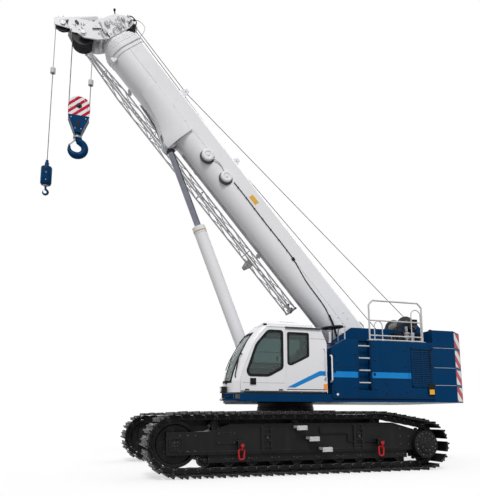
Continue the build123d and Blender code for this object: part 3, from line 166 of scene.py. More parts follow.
def paint(name, colour, rough, coat=0.0, specular=0.2, dirt=(0.5, 0.5, 0.5), dirty=0.12, worn=None, edge=0.006,
          peel=0.0006):
    """Sprayed paint: soft patches, faint rain streaks, orange peel and rubbed edges."""
    look = Look(name, colour, rough, coat=coat, specular=specular)
    patches = look.noise(0.9, detail=6, low=0.42, high=0.75)
    streaks = look.noise(7, stretch=(1, 1, 0.08), detail=3, low=0.5, high=0.8)
    look.mix(look.times(look.math("MAXIMUM", patches, streaks), dirty), dirt)
    rim = look.edges(edge)
    if worn:
        chips = look.noise(23, detail=5, low=0.45, high=0.6)
        look.mix(look.times(look.times(rim, chips), 0.8), worn)
    look.bump(look.noise(190, detail=2), peel)
    return look.done(look.noise(5, detail=4, low=0.3, high=0.7), 0.16)


def worn_and_edge_lit_steel(name, colour, bright, rough, metal, edge=0.006, rub_and_highlight=0.75, pits=0.003, specular=0.3):
    """Dark iron with scale, pits and bright edges: rubbed wear, and on the track iron painted highlight as well."""
    look = Look(name, colour, rough, metal=metal, specular=specular)
    look.mix(look.noise(3.5, detail=8, low=0.4, high=0.8), shaded(colour, 1.7, 0.003))
    rim = look.edges(edge)
    scratched_and_lit = look.noise(31, detail=6, low=0.35, high=0.65)
    # bright edges: rubbed wear, and on the track iron also painted highlight
    look.mix(look.times(look.times(rim, scratched_and_lit), rub_and_highlight), bright)
    look.bump(look.noise(60, detail=5), pits)
    return look.done(look.noise(11, detail=5, low=0.3, high=0.7), 0.25)


def plain(name, colour, rough, metal=0.0, grain=250, depth=0.0004, coat=0.0, vary=0.25, specular=0.2):
    """Moulded plastic, rubber or bright metal with a fine grain."""
    look = Look(name, colour, rough, metal=metal, coat=coat, specular=specular)
    look.mix(look.times(look.noise(6, detail=5, low=0.35, high=0.75), vary), shaded(colour, 0.55))
    look.edges(0.003)
    look.bump(look.noise(grain, detail=2), depth)
    return look.done(look.noise(14, detail=3, low=0.3, high=0.7), 0.14)


def woven(name, colour, pitch):
    """Coarse upholstery weave with lighter threads."""
    look = Look(name, colour, 0.85)
    x, y, z = (look.node("TexWave", {"Vector": look.place, "Scale": 1 / pitch}, "Fac", wave_type="BANDS",
                         bands_direction=way) for way in "XYZ")
    weave = look.times(look.math("ADD", x, y), z)
    look.mix(look.times(weave, 0.3), shaded(colour, 2.2, 0.02))
    look.bump(weave, 0.0012)
    look.set({"Sheen Weight": 0.3})
    return look.done()


def striped(name, pitch, direction):
    """Slanting red and white warning bars."""
    look = Look(name, BAR_WHITE, 0.35, specular=0.04)
    phase = look.math("FRACT", look.math("DIVIDE", look.dot(look.place, direction), pitch))
    look.mix(look.math("LESS_THAN", phase, 0.5), BAR_RED)
    look.mix(look.times(look.noise(2, detail=6, low=0.45, high=0.8), 0.12), (0.4, 0.4, 0.4))
    look.edges(0.004)
    look.bump(look.noise(190, detail=2), 0.0005)
    return look.done(look.noise(8, detail=4), 0.1)


def glazed(name, tint, screen):
    """Tinted glass; panes that face along the machine take the screen's paler tint."""
    look = Look(name, tint, 0.02)
    look.set({"Transmission Weight": 0.9, "IOR": 1.45})
    look.mix(look.times(look.noise(3, detail=6, low=0.5, high=0.8), 0.15), shaded(tint, 0.8))
    facing = look.node("SeparateXYZ", {0: look.place.node.outputs["Normal"]}, "X")
    look.mix(look.cut(look.math("ABSOLUTE", facing), 0.3, 0.5), screen)
    look.bump(look.noise(1.2, detail=2), 0.0004)
    return look.done(look.noise(20, detail=5, low=0.5, high=0.8), 0.03)


def twisted(name, colour, bright):
    """Wire rope: fine wires across the strands, dark grease in between."""
    look = Look(name, colour, 0.45, metal=0.7)
    wires = look.noise(420, detail=3, low=0.35, high=0.65)
    look.mix(look.times(wires, 0.55), bright)
    look.bump(wires, 0.0012)
    return look.done(look.noise(30, detail=3), 0.2)


WHITE = paint("white_paint", (0.72, 0.72, 0.745), 0.32, coat=0.1, specular=0.4, dirt=(0.42, 0.42, 0.41), dirty=0.1,
              edge=0.01)
NAVY = paint("navy_paint", (0.0005, 0.033, 0.104), 0.34, specular=0.04, dirt=(0.012, 0.05, 0.11), dirty=0.2,
             worn=(0.03, 0.09, 0.18), edge=0.008)
AZURE = paint("azure_paint", (0.0, 0.2, 0.55), 0.32, dirt=(0.05, 0.25, 0.5), dirty=0.15)
BLACK = paint("black_paint", (0.0065, 0.0065, 0.007), 0.45, specular=0.15, dirt=(0.022, 0.021, 0.02), dirty=0.4,
              worn=(0.12, 0.115, 0.12), edge=0.012, peel=0.001)
DARK = paint("dark_grey_paint", (0.036, 0.038, 0.043), 0.45, dirt=(0.07, 0.07, 0.066), dirty=0.3,
             worn=(0.22, 0.22, 0.23))
GREY = paint("light_grey_paint", (0.5, 0.5, 0.51), 0.35, specular=0.3, dirt=(0.26, 0.24, 0.22), dirty=0.2,
             worn=(0.25, 0.25, 0.25))
RED = paint("red_paint", (0.42, 0.012, 0.015), 0.38, dirt=(0.12, 0.02, 0.02), dirty=0.35, worn=(0.2, 0.14, 0.13))
YELLOW = paint("yellow_paint", (0.72, 0.4, 0.05), 0.4, dirt=(0.3, 0.2, 0.08), dirty=0.3)
# track iron: its bright edges are partly rubbed wear and partly painted highlight along the shoes
IRON = worn_and_edge_lit_steel("track_iron", (0.0075, 0.0072, 0.0076), (0.34, 0.33, 0.36), 0.5, 0.15, edge=0.014, rub_and_highlight=0.85,
                  specular=0.15)
STEEL = worn_and_edge_lit_steel("bare_steel", (0.26, 0.26, 0.27), (0.55, 0.55, 0.57), 0.38, 0.85, pits=0.001)
CHROME = plain("chrome", (0.2, 0.21, 0.245), 0.1, metal=1.0, grain=500, depth=0.0001, vary=0.5)
RUBBER = plain("black_rubber", (0.0075, 0.0075, 0.008), 0.6, depth=0.001, specular=0.15)
PLASTIC = plain("black_plastic", (0.013, 0.0135, 0.015), 0.48, depth=0.0012, specular=0.18)
TRIM = plain("grey_trim", (0.085, 0.09, 0.095), 0.55, depth=0.0012)
FABRIC = woven("seat_fabric", (0.03, 0.031, 0.036), 0.006)
GLASS = glazed("tinted_glass", (0.2, 0.29, 0.28), screen=(0.66, 0.76, 0.74))
LENS = plain("lamp_lens", (0.75, 0.77, 0.78), 0.12, grain=90, depth=0.002, coat=0.5)
AMBER = plain("amber_lens", (0.85, 0.28, 0.02), 0.15, grain=90, depth=0.002, coat=0.5)
SILVER = plain("mirror_face", (0.6, 0.62, 0.65), 0.04, metal=1.0, grain=400, depth=0.0001, vary=0.05)
ROPE = twisted("wire_rope", (0.07, 0.069, 0.067), (0.24, 0.23, 0.22))
BARS = striped("warning_bars", 0.38, (-0.571, 0.0, 1.0))
BLOCK_BARS = striped("block_warning_bars", 0.19, (0.9, 0.0, 1.0))


# ---- shapes ---------------------------------------------------------------------------------
BOTH = (1, -1)
UP, FRONT, LEFT = (0, 0, 1), (1, 0, 0), (0, 1, 0)
ON_AXIS = 1e-6


def rotated_to(direction):
    """Rotation that takes +Z to the direction."""
    return Vector(UP).rotation_difference(Vector(direction)).to_matrix().to_4x4()


def about(centre, axis, radius, angle):
    """A point on the circle round a centre; the axis lies along X, Y or Z."""
    first, second = [k for k in range(3) if not axis[k]]
    point = list(centre)
    point[first] += radius * cos(angle)
    point[second] += radius * sin(angle)
    return point


class Shape:
    """Vertices and faces under construction, each face with the number of its material."""

    def __init__(self):
        self.verts = []
        self.faces = []
        self.paints = []

    def add(self, verts, faces, paint=0, at=None):
        base = len(self.verts)
        self.verts += [at @ Vector(v) if at else Vector(v) for v in verts]
        self.faces += [[base + i for i in face] for face in faces]
        self.paints += [paint] * len(faces)
        return self

    def put(self, other, at=None):
        """Another shape at a place, with its own materials."""
        base = len(self.verts)
        self.verts += [at @ v if at else v.copy() for v in other.verts]
        self.faces += [[base + i for i in face] for face in other.faces]
        self.paints += other.paints
        return self

    def box(self, low, high, paint=0, at=None):
        xs, ys, zs = (sorted(pair) for pair in zip(low, high))
        verts = [(x, y, z) for x in xs for y in ys for z in zs]
        faces = [(0, 1, 3, 2), (4, 6, 7, 5), (0, 4, 5, 1), (2, 3, 7, 6), (0, 2, 6, 4), (1, 5, 7, 3)]
        return self.add(verts, faces, paint, at)

    def prism(self, outline, y0, y1, paint=0):
        """An outline in x and z, from y0 to y1."""
        n = len(outline)
        verts = [(x, y, z) for y in sorted((y0, y1)) for x, z in outline]
        faces = [tuple(range(n)), tuple(range(2 * n - 1, n - 1, -1))]
        faces += [(i, (i + 1) % n, n + (i + 1) % n, n + i) for i in range(n)]
        return self.add(verts, faces, paint)

    def ring_prism(self, outer, inner, y0, y1, paint=0, at=None):
        """A frame between two outlines with the same number of points."""
        n = len(outer)
        verts = [(x, y, z) for y in sorted((y0, y1)) for line in (outer, inner) for x, z in line]
        faces = []
        for i in range(n):
            j = (i + 1) % n
            faces += [(i, j, n + j, n + i), (2 * n + i, 3 * n + i, 3 * n + j, 2 * n + j),
                      (i, 2 * n + i, 2 * n + j, j), (n + i, n + j, 3 * n + j, 3 * n + i)]
        return self.add(verts, faces, paint, at)

    def lathe(self, profile, centre=(0, 0, 0), axis=UP, steps=32, paint=0, at=None):
        """A closed profile of (along the axis, radius) turned about the axis."""
        turn = Matrix.Translation(centre) @ rotated_to(axis)
        verts, faces, rows = [], [], []
        for along, radius in profile:
            count = steps if radius > ON_AXIS else 1
            rows.append([len(verts) + k % count for k in range(steps)])
            verts += [(radius * cos(2 * pi * k / steps), radius * sin(2 * pi * k / steps), along)
                      for k in range(count)]
        pairs = list(zip(rows, rows[1:]))
        if min(profile[0][1], profile[-1][1]) > ON_AXIS:
            pairs.append((rows[-1], rows[0]))
        for a, b in pairs:
            for k in range(steps):
                j = (k + 1) % steps
                corners = tuple(dict.fromkeys((a[k], b[k], b[j], a[j])))
                if len(corners) > 2:
                    faces.append(corners)
        return self.add(verts, faces, paint, at @ turn if at else turn)

    def knob(self, outline, centre=(0, 0, 0), axis=UP, steps=32, paint=0, at=None):
        """A turned solid: its outline is closed on the axis."""
        return self.lathe([(outline[0][0], 0), *outline, (outline[-1][0], 0)], centre, axis, steps, paint, at)

    def disc(self, centre, axis, radius, height, steps=24, paint=0):
        return self.knob([(0, radius), (height, radius)], centre, axis, steps, paint)

    def ring(self, centre, axis, inner, outer, height, steps=24, paint=0):
        return self.lathe([(0, inner), (0, outer), (height, outer), (height, inner)], centre, axis, steps, paint)

    def rod(self, start, end, radius, steps=12, paint=0):
        """A round bar with flat ends."""
        way = Vector(end) - Vector(start)
        return self.disc(start, way, radius, way.length, steps, paint)

    def drum(self, x, z, radius, y0, y1, steps=32, paint=0):
        return self.rod((x, y0, z), (x, y1, z), radius, steps, paint)

    def tube(self, path, radius, steps=10, paint=0, closed=False, at=None, lobes=0, twist=0.0):
        """A round tube along points; with lobes it is a laid rope that turns as it goes."""
        path = [Vector(p) for p in path]
        count = len(path)
        radii = radius if isinstance(radius, (list, tuple)) else [radius] * count
        verts, faces = [], []
        side, travelled = None, 0.0
        for i, p in enumerate(path):
            before = path[i - 1] if i or closed else p
            after = path[(i + 1) % count] if i + 1 < count or closed else p
            way = (after - before).normalized()
            if side is None:
                side = way.orthogonal().normalized()
            side = (side - way * side.dot(way)).normalized()
            up = way.cross(side)
            travelled += (p - before).length if i else 0.0
            for k in range(steps):
                a = 2 * pi * k / steps
                r = radii[i] * (1 + 0.16 * cos(lobes * a)) if lobes else radii[i]
                turned = a + twist * travelled
                verts.append(p + side * (r * cos(turned)) + up * (r * sin(turned)))
        for i in range(count if closed else count - 1):
            a, b = i * steps, ((i + 1) % count) * steps
            faces += [(a + k, a + (k + 1) % steps, b + (k + 1) % steps, b + k) for k in range(steps)]
        if not closed:
            faces.append(tuple(range(steps - 1, -1, -1)))
            faces.append(tuple(range((count - 1) * steps, count * steps)))
        return self.add(verts, faces, paint, at)

    def hose(self, points, bend, radius, steps=8, paint=0, cuts=6, at=None):
        """A tube through points with round corners."""
        return self.tube(bent(points, bend, cuts), radius, steps, paint, at=at)

    def hex_bolt(self, place, axis, size=0.022, paint=0, at=None):
        """Washer and six-sided head."""
        turn = Matrix.Translation(place) @ rotated_to(axis)
        place = at @ turn if at else turn
        self.knob([(-0.002, size), (size * 0.2, size)], steps=12, paint=paint, at=place)
        return self.knob([(size * 0.15, size * 0.72), (size * 0.75, size * 0.72), (size * 0.85, size * 0.6)],
                         steps=6, paint=paint, at=place)

    def bolts(self, places, axis, size, paint=0, at=None):
        for place in places:
            self.hex_bolt(place, axis, size, paint, at)
        return self

    def bolt_circle(self, centre, axis, radius, count, size, paint=0, turn=0.0):
        """Bolts round a centre; turn moves them on by that share of their pitch."""
        return self.bolts([about(centre, axis, radius, 2 * pi * (k + turn) / count) for k in range(count)],
                          axis, size, paint)

    def mirrored(self):
        made = Shape()
        made.verts = [Vector((v.x, -v.y, v.z)) for v in self.verts]
        made.faces = [list(reversed(face)) for face in self.faces]
        made.paints = list(self.paints)
        return made


def corner(a, b, c, radius, share, steps):
    """Points that round off the corner b; each side gives up at most its share."""
    into, out = a - b, c - b
    r = min(radius, into.length * share, out.length * share)
    start, end = b + into.normalized() * r, b + out.normalized() * r
    return [start * (1 - t) ** 2 + b * (2 * t * (1 - t)) + end * t ** 2
            for t in (k / steps for k in range(steps + 1))]


def bent(points, radius, steps=6):
    """A path through points with round corners."""
    points = [Vector(p) for p in points]
    path = [points[0]]
    for a, b, c in zip(points, points[1:], points[2:]):
        path += corner(a, b, c, radius, 0.48, steps)
    return path + [points[-1]]


def divided(start, end, step):
    start, end = Vector(start), Vector(end)
    count = max(2, ceil((end - start).length / step))
    return [start.lerp(end, i / count) for i in range(count + 1)]


def neighbours(outline):
    """Each point of a closed outline between the one before it and the one after it."""
    points = [Vector(p) for p in outline]
    return list(zip(points[-1:] + points[:-1], points, points[1:] + points[:1]))


def rounded(outline, radius, steps=4):
    """An outline in x and z with round corners."""
    return [tuple(p) for a, b, c in neighbours(outline) for p in corner(a, b, c, radius, 0.45, steps)]


def grown(outline, by):
    """An outline moved outwards, or inwards if by is negative."""
    trios = neighbours(outline)
    turn = 1 if sum(b.cross(c) for a, b, c in trios) > 0 else -1
    made = []
    for a, b, c in trios:
        first, second = (b - a).normalized(), (c - b).normalized()
        middle = Vector((first.y + second.y, -first.x - second.x)) * turn
        made.append(tuple(b + middle * (by * 2 / max(middle.length_squared, 0.4))))
    return made


def placed(name, data):
    """A new object in the scene."""
    obj = bpy.data.objects.new(name, data)
    bpy.context.scene.collection.objects.link(obj)
    return obj


def piece(name, body, shape, mats, slot, bevel=0.003, at=None, smooth_angle=35, blend=None, instead_of=None):
    """A shape made into an object that rides on a body; given a blend, it is left where it is made and rides on
    none.
    """
    mesh = bpy.data.meshes.new(name)
    shift = Matrix.Translation((AXIS_X, 0, 0))
    place = shift @ at if at else shift
    mesh.from_pydata([place @ v for v in shape.verts], [], shape.faces)
    for mat in mats:
        mesh.materials.append(mat)
    mesh.polygons.foreach_set("material_index", shape.paints)
    build = bmesh.new()
    build.from_mesh(mesh)
    bmesh.ops.recalc_face_normals(build, faces=build.faces)
    build.to_mesh(mesh)
    build.free()
    mesh.polygons.foreach_set("use_smooth", [True] * len(mesh.polygons))
    mesh.set_sharp_from_angle(angle=radians(smooth_angle))
    obj = placed(name, mesh)
    if bevel:
        edge = obj.modifiers.new("edges", "BEVEL")
        edge.width = bevel
        edge.segments = 2
        edge.limit_method = "ANGLE"
        edge.angle_limit = radians(smooth_angle)
        edge.harden_normals = True
    if blend:
        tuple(blend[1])
        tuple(blend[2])
        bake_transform(obj)
    else:
        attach(obj, body)
    if instead_of:
        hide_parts(instead_of)
    return obj


def row_point(p):
    """A point about the slewing axis, in the row frame."""
    return (p[0] + AXIS_X, p[1], p[2])


# ---- colours of the CAD pieces --------------------------------------------------------------
NODE_LOOKS = {
    "blue_paint": NAVY, "black_paint": BLACK, "white_paint": WHITE, "grey_paint": GREY,
    "dark_grey_paint": DARK, "track_steel": IRON, "steel": STEEL, "chrome": CHROME,
    "clear_glass": GLASS, "seat_fabric": FABRIC, "black_plastic": PLASTIC, "mirror_plate": PLASTIC,
}
OWN_LOOKS = {"hoist_limit_weight_main": GREY, "hoist_limit_weight_whip": GREY}

for part in frame["record"]["subparts"]:
    node = frame["nodes"][part["node"]]
    node.data.materials.clear()
    node.data.materials.append(OWN_LOOKS.get(part["node"], NODE_LOOKS[part["material_slot"]]))

# ---- tracks ---------------------------------------------------------------------------------
TRACK_Y = 2.2
SHOE_COUNT = 58
SHOE_HALF = 0.45
GROUSER = 0.03
PLATE = 0.04
PIN_DEPTH = 0.1           # the chain's pins lie this far inside the line of the shoes
IDLER = (3.225, 0.605)
SPROCKET = (-2.33, 0.512)
TOP_RUN_REAR = -1.3
WHEEL_HALF = 0.095
FRAME_HALF = 0.22
ROLLER_XS = [-1.78 + i * 4.42 / 9 for i in range(10)]
CARRIER_XS = (2.45, 0.7, -1.15)
TEETH = 19
TOOTH = ((0.0, 0.318), (0.22, 0.32), (0.38, 0.356), (0.62, 0.358), (0.78, 0.322))     # share of the pitch, radius
ROLLER_Z = 0.3105
CARRIER_Z = 1.0045


class Loop:
    """The line of the shoes, moved inwards by inset: straights and two arcs."""

    def __init__(self, inset):
        bottom = GROUSER + inset
        idler_r, sprocket_r = IDLER[1] - inset, SPROCKET[1] - inset
        idler_z, sprocket_z = bottom + idler_r, bottom + sprocket_r
        top = idler_z + idler_r
        across, up = TOP_RUN_REAR - SPROCKET[0], top - sprocket_z
        leave = atan2(up, across) + acos(sprocket_r / hypot(across, up))
        falls_to = (SPROCKET[0] + sprocket_r * cos(leave), sprocket_z + sprocket_r * sin(leave))
        self.parts = [
            ("line", (SPROCKET[0], bottom), (IDLER[0], bottom)),
            ("arc", (IDLER[0], idler_z), idler_r, -pi / 2, pi / 2),
            ("line", (IDLER[0], top), (TOP_RUN_REAR, top)),
            ("line", (TOP_RUN_REAR, top), falls_to),
            ("arc", (SPROCKET[0], sprocket_z), sprocket_r, leave, 1.5 * pi),
        ]
        self.lengths = [dist(part[1], part[2]) if part[0] == "line" else part[2] * (part[4] - part[3])
                        for part in self.parts]
        self.length = sum(self.lengths)

    def at(self, distance):
        distance %= self.length
        for part, length in zip(self.parts, self.lengths):
            if distance <= length:
                break
            distance -= length
        if part[0] == "line":
            t = distance / length
            return Vector((part[1][0] * (1 - t) + part[2][0] * t, part[1][1] * (1 - t) + part[2][1] * t))
        angle = part[3] + distance / part[2]
        return Vector((part[1][0] + part[2] * cos(angle), part[1][1] + part[2] * sin(angle)))


def track_frames():
    """A frame at each shoe and the chain's pitch; shoes fan out where their pins go round a wheel."""
    loop = Loop(PIN_DEPTH)
    joints = [loop.at(i * loop.length / SHOE_COUNT) for i in range(SHOE_COUNT)]
    for here, after in zip(joints, joints[1:] + joints[:1]):
        along = (after - here).normalized()
        out = Vector((along.y, -along.x))
        centre = (here + after) / 2 + out * PIN_DEPTH
        place = Matrix((
            (along.x, 0, out.x, centre.x),
            (0, 1, 0, TRACK_Y),
            (along.y, 0, out.y, centre.y),
            (0, 0, 0, 1),
        ))
        yield place, (after - here).length


def shoe(pitch):
    """One shoe in its own frame: x along the track, z outwards from the shoe line."""
    half = pitch / 2
    profile = [(-half + 0.012, -PLATE + 0.006), (-half + 0.03, -0.012), (-half + 0.036, GROUSER),
               (-half + 0.062, GROUSER), (-half + 0.072, -0.008), (half * 0.1, -0.006), (half * 0.16, GROUSER * 0.7),
               (half * 0.36, GROUSER * 0.7), (half * 0.44, -0.008), (half - 0.018, -0.01), (half - 0.006, -0.03),
               (half - 0.02, -PLATE)]
    made = Shape().prism(profile, -SHOE_HALF, SHOE_HALF)
    return made.bolts([(x, y, -0.008) for x in (-half * 0.42, half * 0.62) for y in (-0.075, 0.075)], UP, 0.02, 1)


def chain_link(pitch):
    """Two offset side bars and a bushing."""
    made = Shape()
    half = pitch / 2
    outline = rounded([(-half - 0.035, -0.135), (half * 0.3, -0.145), (half + 0.03, -0.135), (half + 0.03, -0.075),
                       (half * 0.5, -0.042), (-half * 0.5, -0.042), (-half - 0.035, -0.075)], 0.03)
    for y in (-0.095, 0.065):
        made.prism(outline, y, y + 0.03)
    made.drum(-half, -PIN_DEPTH, 0.03, -0.112, 0.112, 14)
    return made


def wheel_shape(radius, hub_r, half, axle_r, axle_half, dish=0.02):
    """Turned wheel: rim, dished web, hub and axle, about z."""
    side = [(axle_half, axle_r * 0.9), (axle_half - 0.008, axle_r), (half, axle_r), (half, hub_r),
            (half - dish, hub_r + 0.012), (half - dish, radius * 0.8), (half - 0.004, radius * 0.86),
            (half, radius * 0.9), (half - 0.006, radius), (half * 0.45, radius), (half * 0.35, radius * 0.965)]
    return Shape().knob([(-along, r) for along, r in side] + side[::-1], steps=40)


def wheel_at(x, z):
    return Matrix.Translation((x, TRACK_Y, z)) @ rotated_to(LEFT)


def track_wheels():
    made = Shape()
    for x in ROLLER_XS:
        made.put(wheel_shape(0.13, 0.05, WHEEL_HALF, 0.03, 0.155), wheel_at(x, ROLLER_Z))
    for x in CARRIER_XS:
        made.put(wheel_shape(0.085, 0.045, WHEEL_HALF, 0.03, 0.155, 0.012), wheel_at(x, CARRIER_Z))
    return made


def idler_wheel():
    place = wheel_at(IDLER[0], GROUSER + IDLER[1])
    made = Shape().put(wheel_shape(0.453, 0.13, WHEEL_HALF, 0.075, FRAME_HALF, 0.035), place)
    centre = (IDLER[0], TRACK_Y, GROUSER + IDLER[1])
    for k in range(8):
        x, _, z = about(centre, LEFT, 0.245, pi / 4 * k)
        for side in BOTH:
            made.drum(x, z, 0.048, TRACK_Y + side * 0.056, TRACK_Y + side * 0.063, 14, paint=1)
    for side in BOTH:
        made.bolt_circle((IDLER[0], TRACK_Y + side * FRAME_HALF * 0.99, 0.635), (0, side, 0), 0.045, 4, 0.012, 1,
                         0.5)
    return made


def drive_wheel():
    """Toothed sprocket, hub and the travel drive's round cover with its bolts."""
    x0, z0 = SPROCKET[0], GROUSER + SPROCKET[1]
    made = Shape()
    turns = [(2 * pi * (k + share) / TEETH, radius) for k in range(TEETH) for share, radius in TOOTH]
    outline = [(x0 + radius * cos(a), z0 + radius * sin(a)) for a, radius in turns]
    made.prism(outline, TRACK_Y - 0.035, TRACK_Y + 0.035)
    made.put(Shape().knob([(-0.21, 0.16), (-0.1, 0.17), (-0.1, 0.25), (-0.04, 0.29), (0.04, 0.29), (0.1, 0.25),
                           (0.1, 0.17), (0.222, 0.17), (0.222, 0.29), (0.24, 0.3), (0.33, 0.3), (0.345, 0.29),
                           (0.35, 0.27), (0.35, 0.2), (0.375, 0.192), (0.385, 0.17), (0.385, 0.1), (0.4, 0.09)],
                          steps=48), wheel_at(x0, z0))
    made.bolt_circle((x0, TRACK_Y + 0.35, z0), LEFT, 0.235, 16, 0.017, 1)
    return made.bolt_circle((x0, TRACK_Y + 0.385, z0), LEFT, 0.13, 8, 0.014, 1, 0.5)


def shackle(x, y, z):
    """Bow shackle hanging from a lug by the pin across it, with a long D link in it."""
    made = Shape()
    made.rod((x, y - 0.07, z), (x, y + 0.07, z), 0.022, 14)
    made.disc((x, y + 0.055, z), LEFT, 0.038, 0.02, 14)
    bow = [(x, y - 0.045, z), (x, y - 0.055, z - 0.06), (x, y, z - 0.115), (x, y + 0.055, z - 0.06),
           (x, y + 0.045, z)]
    made.hose(bow, 0.04, 0.019, 10, cuts=4)
    link = rounded([(-0.06, -0.075), (0.06, -0.075), (0.05, -0.27), (-0.05, -0.27)], 0.045, 5)
    return made.tube([(x + across, y, z + down) for across, down in link], 0.019, 10, closed=True)


def side_frame_trim():
    """What is welded and bolted on the side frame's outer face."""
    made = Shape()
    face = TRACK_Y + FRAME_HALF
    for x in ROLLER_XS:
        made.knob([(0, 0.048), (0.01, 0.048), (0.014, 0.036), (0.022, 0.034)], (x, TRACK_Y + 0.154, ROLLER_Z), LEFT,
                  18)
        made.bolts([(x + dx, TRACK_Y + 0.154, ROLLER_Z + 0.03) for dx in (-0.075, 0.075)], LEFT, 0.016, 1)
    ribs = rounded([(-0.03, 0.46), (0.03, 0.46), (0.03, 0.97), (-0.03, 0.97)], 0.02)
    for x in (1.47, 1.27, -0.62, -0.82):
        made.prism([(x + dx, z) for dx, z in ribs], face - 0.004, face + 0.034)
    for x in (1.37, -0.72):
        for z in (0.56, 0.68, 0.8, 0.9):
            made.box((x - 0.08, face - 0.002, z - 0.016), (x + 0.08, face + 0.024, z + 0.016))
        made.drum(x, 0.74, 0.028, face, face + 0.05, 16, paint=1)
    made.box((-1.72, face - 0.002, 0.47), (3.2, face + 0.012, 0.5))
    made.box((-1.5, face - 0.002, 0.965), (2.1, face + 0.012, 0.99))
    cover = rounded([(2.02, 0.62), (2.42, 0.62), (2.42, 0.86), (2.02, 0.86)], 0.05)
    made.prism(cover, face - 0.002, face + 0.014)
    made.bolts([(x, face + 0.013, z) for x in (2.06, 2.38) for z in (0.65, 0.83)], LEFT, 0.013, 1)
    made.bolts([(x, face - 0.001, z) for x in (-1.95, -1.75) for z in (0.55, 0.72, 0.89)], LEFT, 0.018, 1)
    made.bolts([(x, face - 0.001, z) for x in (2.85, 3.0, 3.15) for z in (0.5, 0.8)], LEFT, 0.018, 1)
    made.ring_prism(rounded([(3.08, 0.5), (3.37, 0.5), (3.37, 0.77), (3.08, 0.77)], 0.05),
                    rounded([(3.115, 0.535), (3.335, 0.535), (3.335, 0.735), (3.115, 0.735)], 0.04),
                    face - 0.002, face + 0.02)
    inner = TRACK_Y - FRAME_HALF
    made.box((-1.5, inner - 0.005, 0.985), (3.3, inner + 0.01, 1.185))
    made.box((-2.1, inner - 0.005, 0.115), (2.6, inner + 0.01, 0.46))
    pipe = ((0.2, 0.93), (0.2, 0.8), (-0.45, 0.8), (-0.45, 0.62), (-1.3, 0.62))
    return made.hose([(x, face + 0.02, z) for x, z in pipe], 0.05, 0.013, paint=2)


def step_treads():
    """Raised bars and turned-up edges on the three step plates."""
    made = Shape()
    face = TRACK_Y + FRAME_HALF
    for x, z in ((0.67, 0.935), (0.4, 0.71), (0.11, 0.49)):
        top = z + 0.03
        for i in range(9):
            for j in range(7):
                lug_x, lug_y = x - 0.1 + i * 0.025, face + 0.02 + j * 0.025
                made.box((lug_x - 0.007, lug_y - 0.004, top - 0.001), (lug_x + 0.007, lug_y + 0.004, top + 0.004))
        for dx in (-0.115, 0.107):
            made.box((x + dx, face, z - 0.012), (x + dx + 0.008, face + 0.19, top + 0.012))
        made.box((x - 0.115, face + 0.182, z - 0.05), (x + 0.115, face + 0.19, top + 0.012))
        made.bolts([(x + dx, face + 0.189, z - 0.022) for dx in (-0.09, 0.09)], LEFT, 0.011, 1)
    return made


shoes, links = Shape(), Shape()
for place, pitch in track_frames():
    shoes.put(shoe(pitch), place)
    links.put(chain_link(pitch), place)

TRACK_PIECES = (
    # name, shape, materials, slot, CAD piece it stands for, bevel
    ("track_pads", shoes, (IRON, STEEL), "track_steel", "track_shoes", 0.003),
    ("track_chain", links, (IRON, STEEL), "track_steel", None, 0.003),
    ("bottom_rollers", track_wheels(), (IRON, STEEL), "track_steel", "track_rollers", 0),
    ("idler_wheel", idler_wheel(), (BLACK, IRON), "black_paint", "track_idler", 0.002),
    ("drive_sprocket", drive_wheel(), (BLACK, IRON), "black_paint", "track_drive", 0.003),
    ("side_frame_fittings", side_frame_trim(), (BLACK, DARK, RUBBER), "black_paint", None, 0.004),
    ("step_treads", step_treads(), (GREY, STEEL), "steel", None, 0),
    ("lashing_shackles", shackle(1.95, 2.55, 0.6).put(shackle(-1.18, 2.55, 0.6)), (RED,), "steel", None, 0),
)
for side, sign in SIDES:
    for name, shape, mats, slot_name, node, bevel in TRACK_PIECES:
        piece(f"{name}_{side}", f"track_{side}", shape if sign > 0 else shape.mirrored(), mats, slot_name, bevel,
              instead_of=node and f"{node}_{side}")
    frame["nodes"][f"track_steps_{side}"].data.materials[0] = GREY

# ---- carbody between the tracks -------------------------------------------------------------
carbody = Shape().bolt_circle((0, 0, 1.26), UP, 0.75, 36, 0.02, 1)
for turn in (0, pi):
    at = Matrix.Rotation(turn, 4, "Z")
    carbody.box((0.945, -0.2, 0.96), (0.965, 0.2, 1.14), at=at)
    carbody.box((0.3, -0.93, 1.238), (0.94, 0.93, 1.3), at=at)
    carbody.bolts([(0.964, y, z) for y in (-0.15, 0.15) for z in (1.0, 1.1)], FRONT, 0.02, 1, at)
    for y in (-0.06, 0.0, 0.06):
        carbody.hose([(0.96, y, 1.08), (1.06, y, 1.06), (1.06, y, 0.945)], 0.04, 0.016, paint=2, at=at)
piece("carbody_fittings", "undercarriage", carbody, (BLACK, DARK, RUBBER), "black_paint", 0.003)

ring_trim = Shape().bolt_circle((0, 0, 1.487), (0, 0, -1), 0.62, 40, 0.016, 1, 0.5)
ring_trim.ring((0, 0, 1.372), UP, 0.69, 0.715, 0.028, 64, 2)
piece("slew_ring_bolts", "superstructure", ring_trim, (BLACK, DARK, RUBBER), "black_paint", 0)

# ---- superstructure -------------------------------------------------------------------------
SIDE_Y = 1.51
HOUSING_TOP = 2.975
STRIPE = 0.0015           # how far painted bands and seams stand off a wall
SEAM_HALF = 0.004
LOUVRE_RIM = 0.03
LID = 0.012
TREAD_PITCH = 0.05
FACES = [(0, 1, 2, 3), (7, 6, 5, 4), (0, 4, 5, 1), (1, 5, 6, 2), (2, 6, 7, 3), (3, 7, 4, 0)]


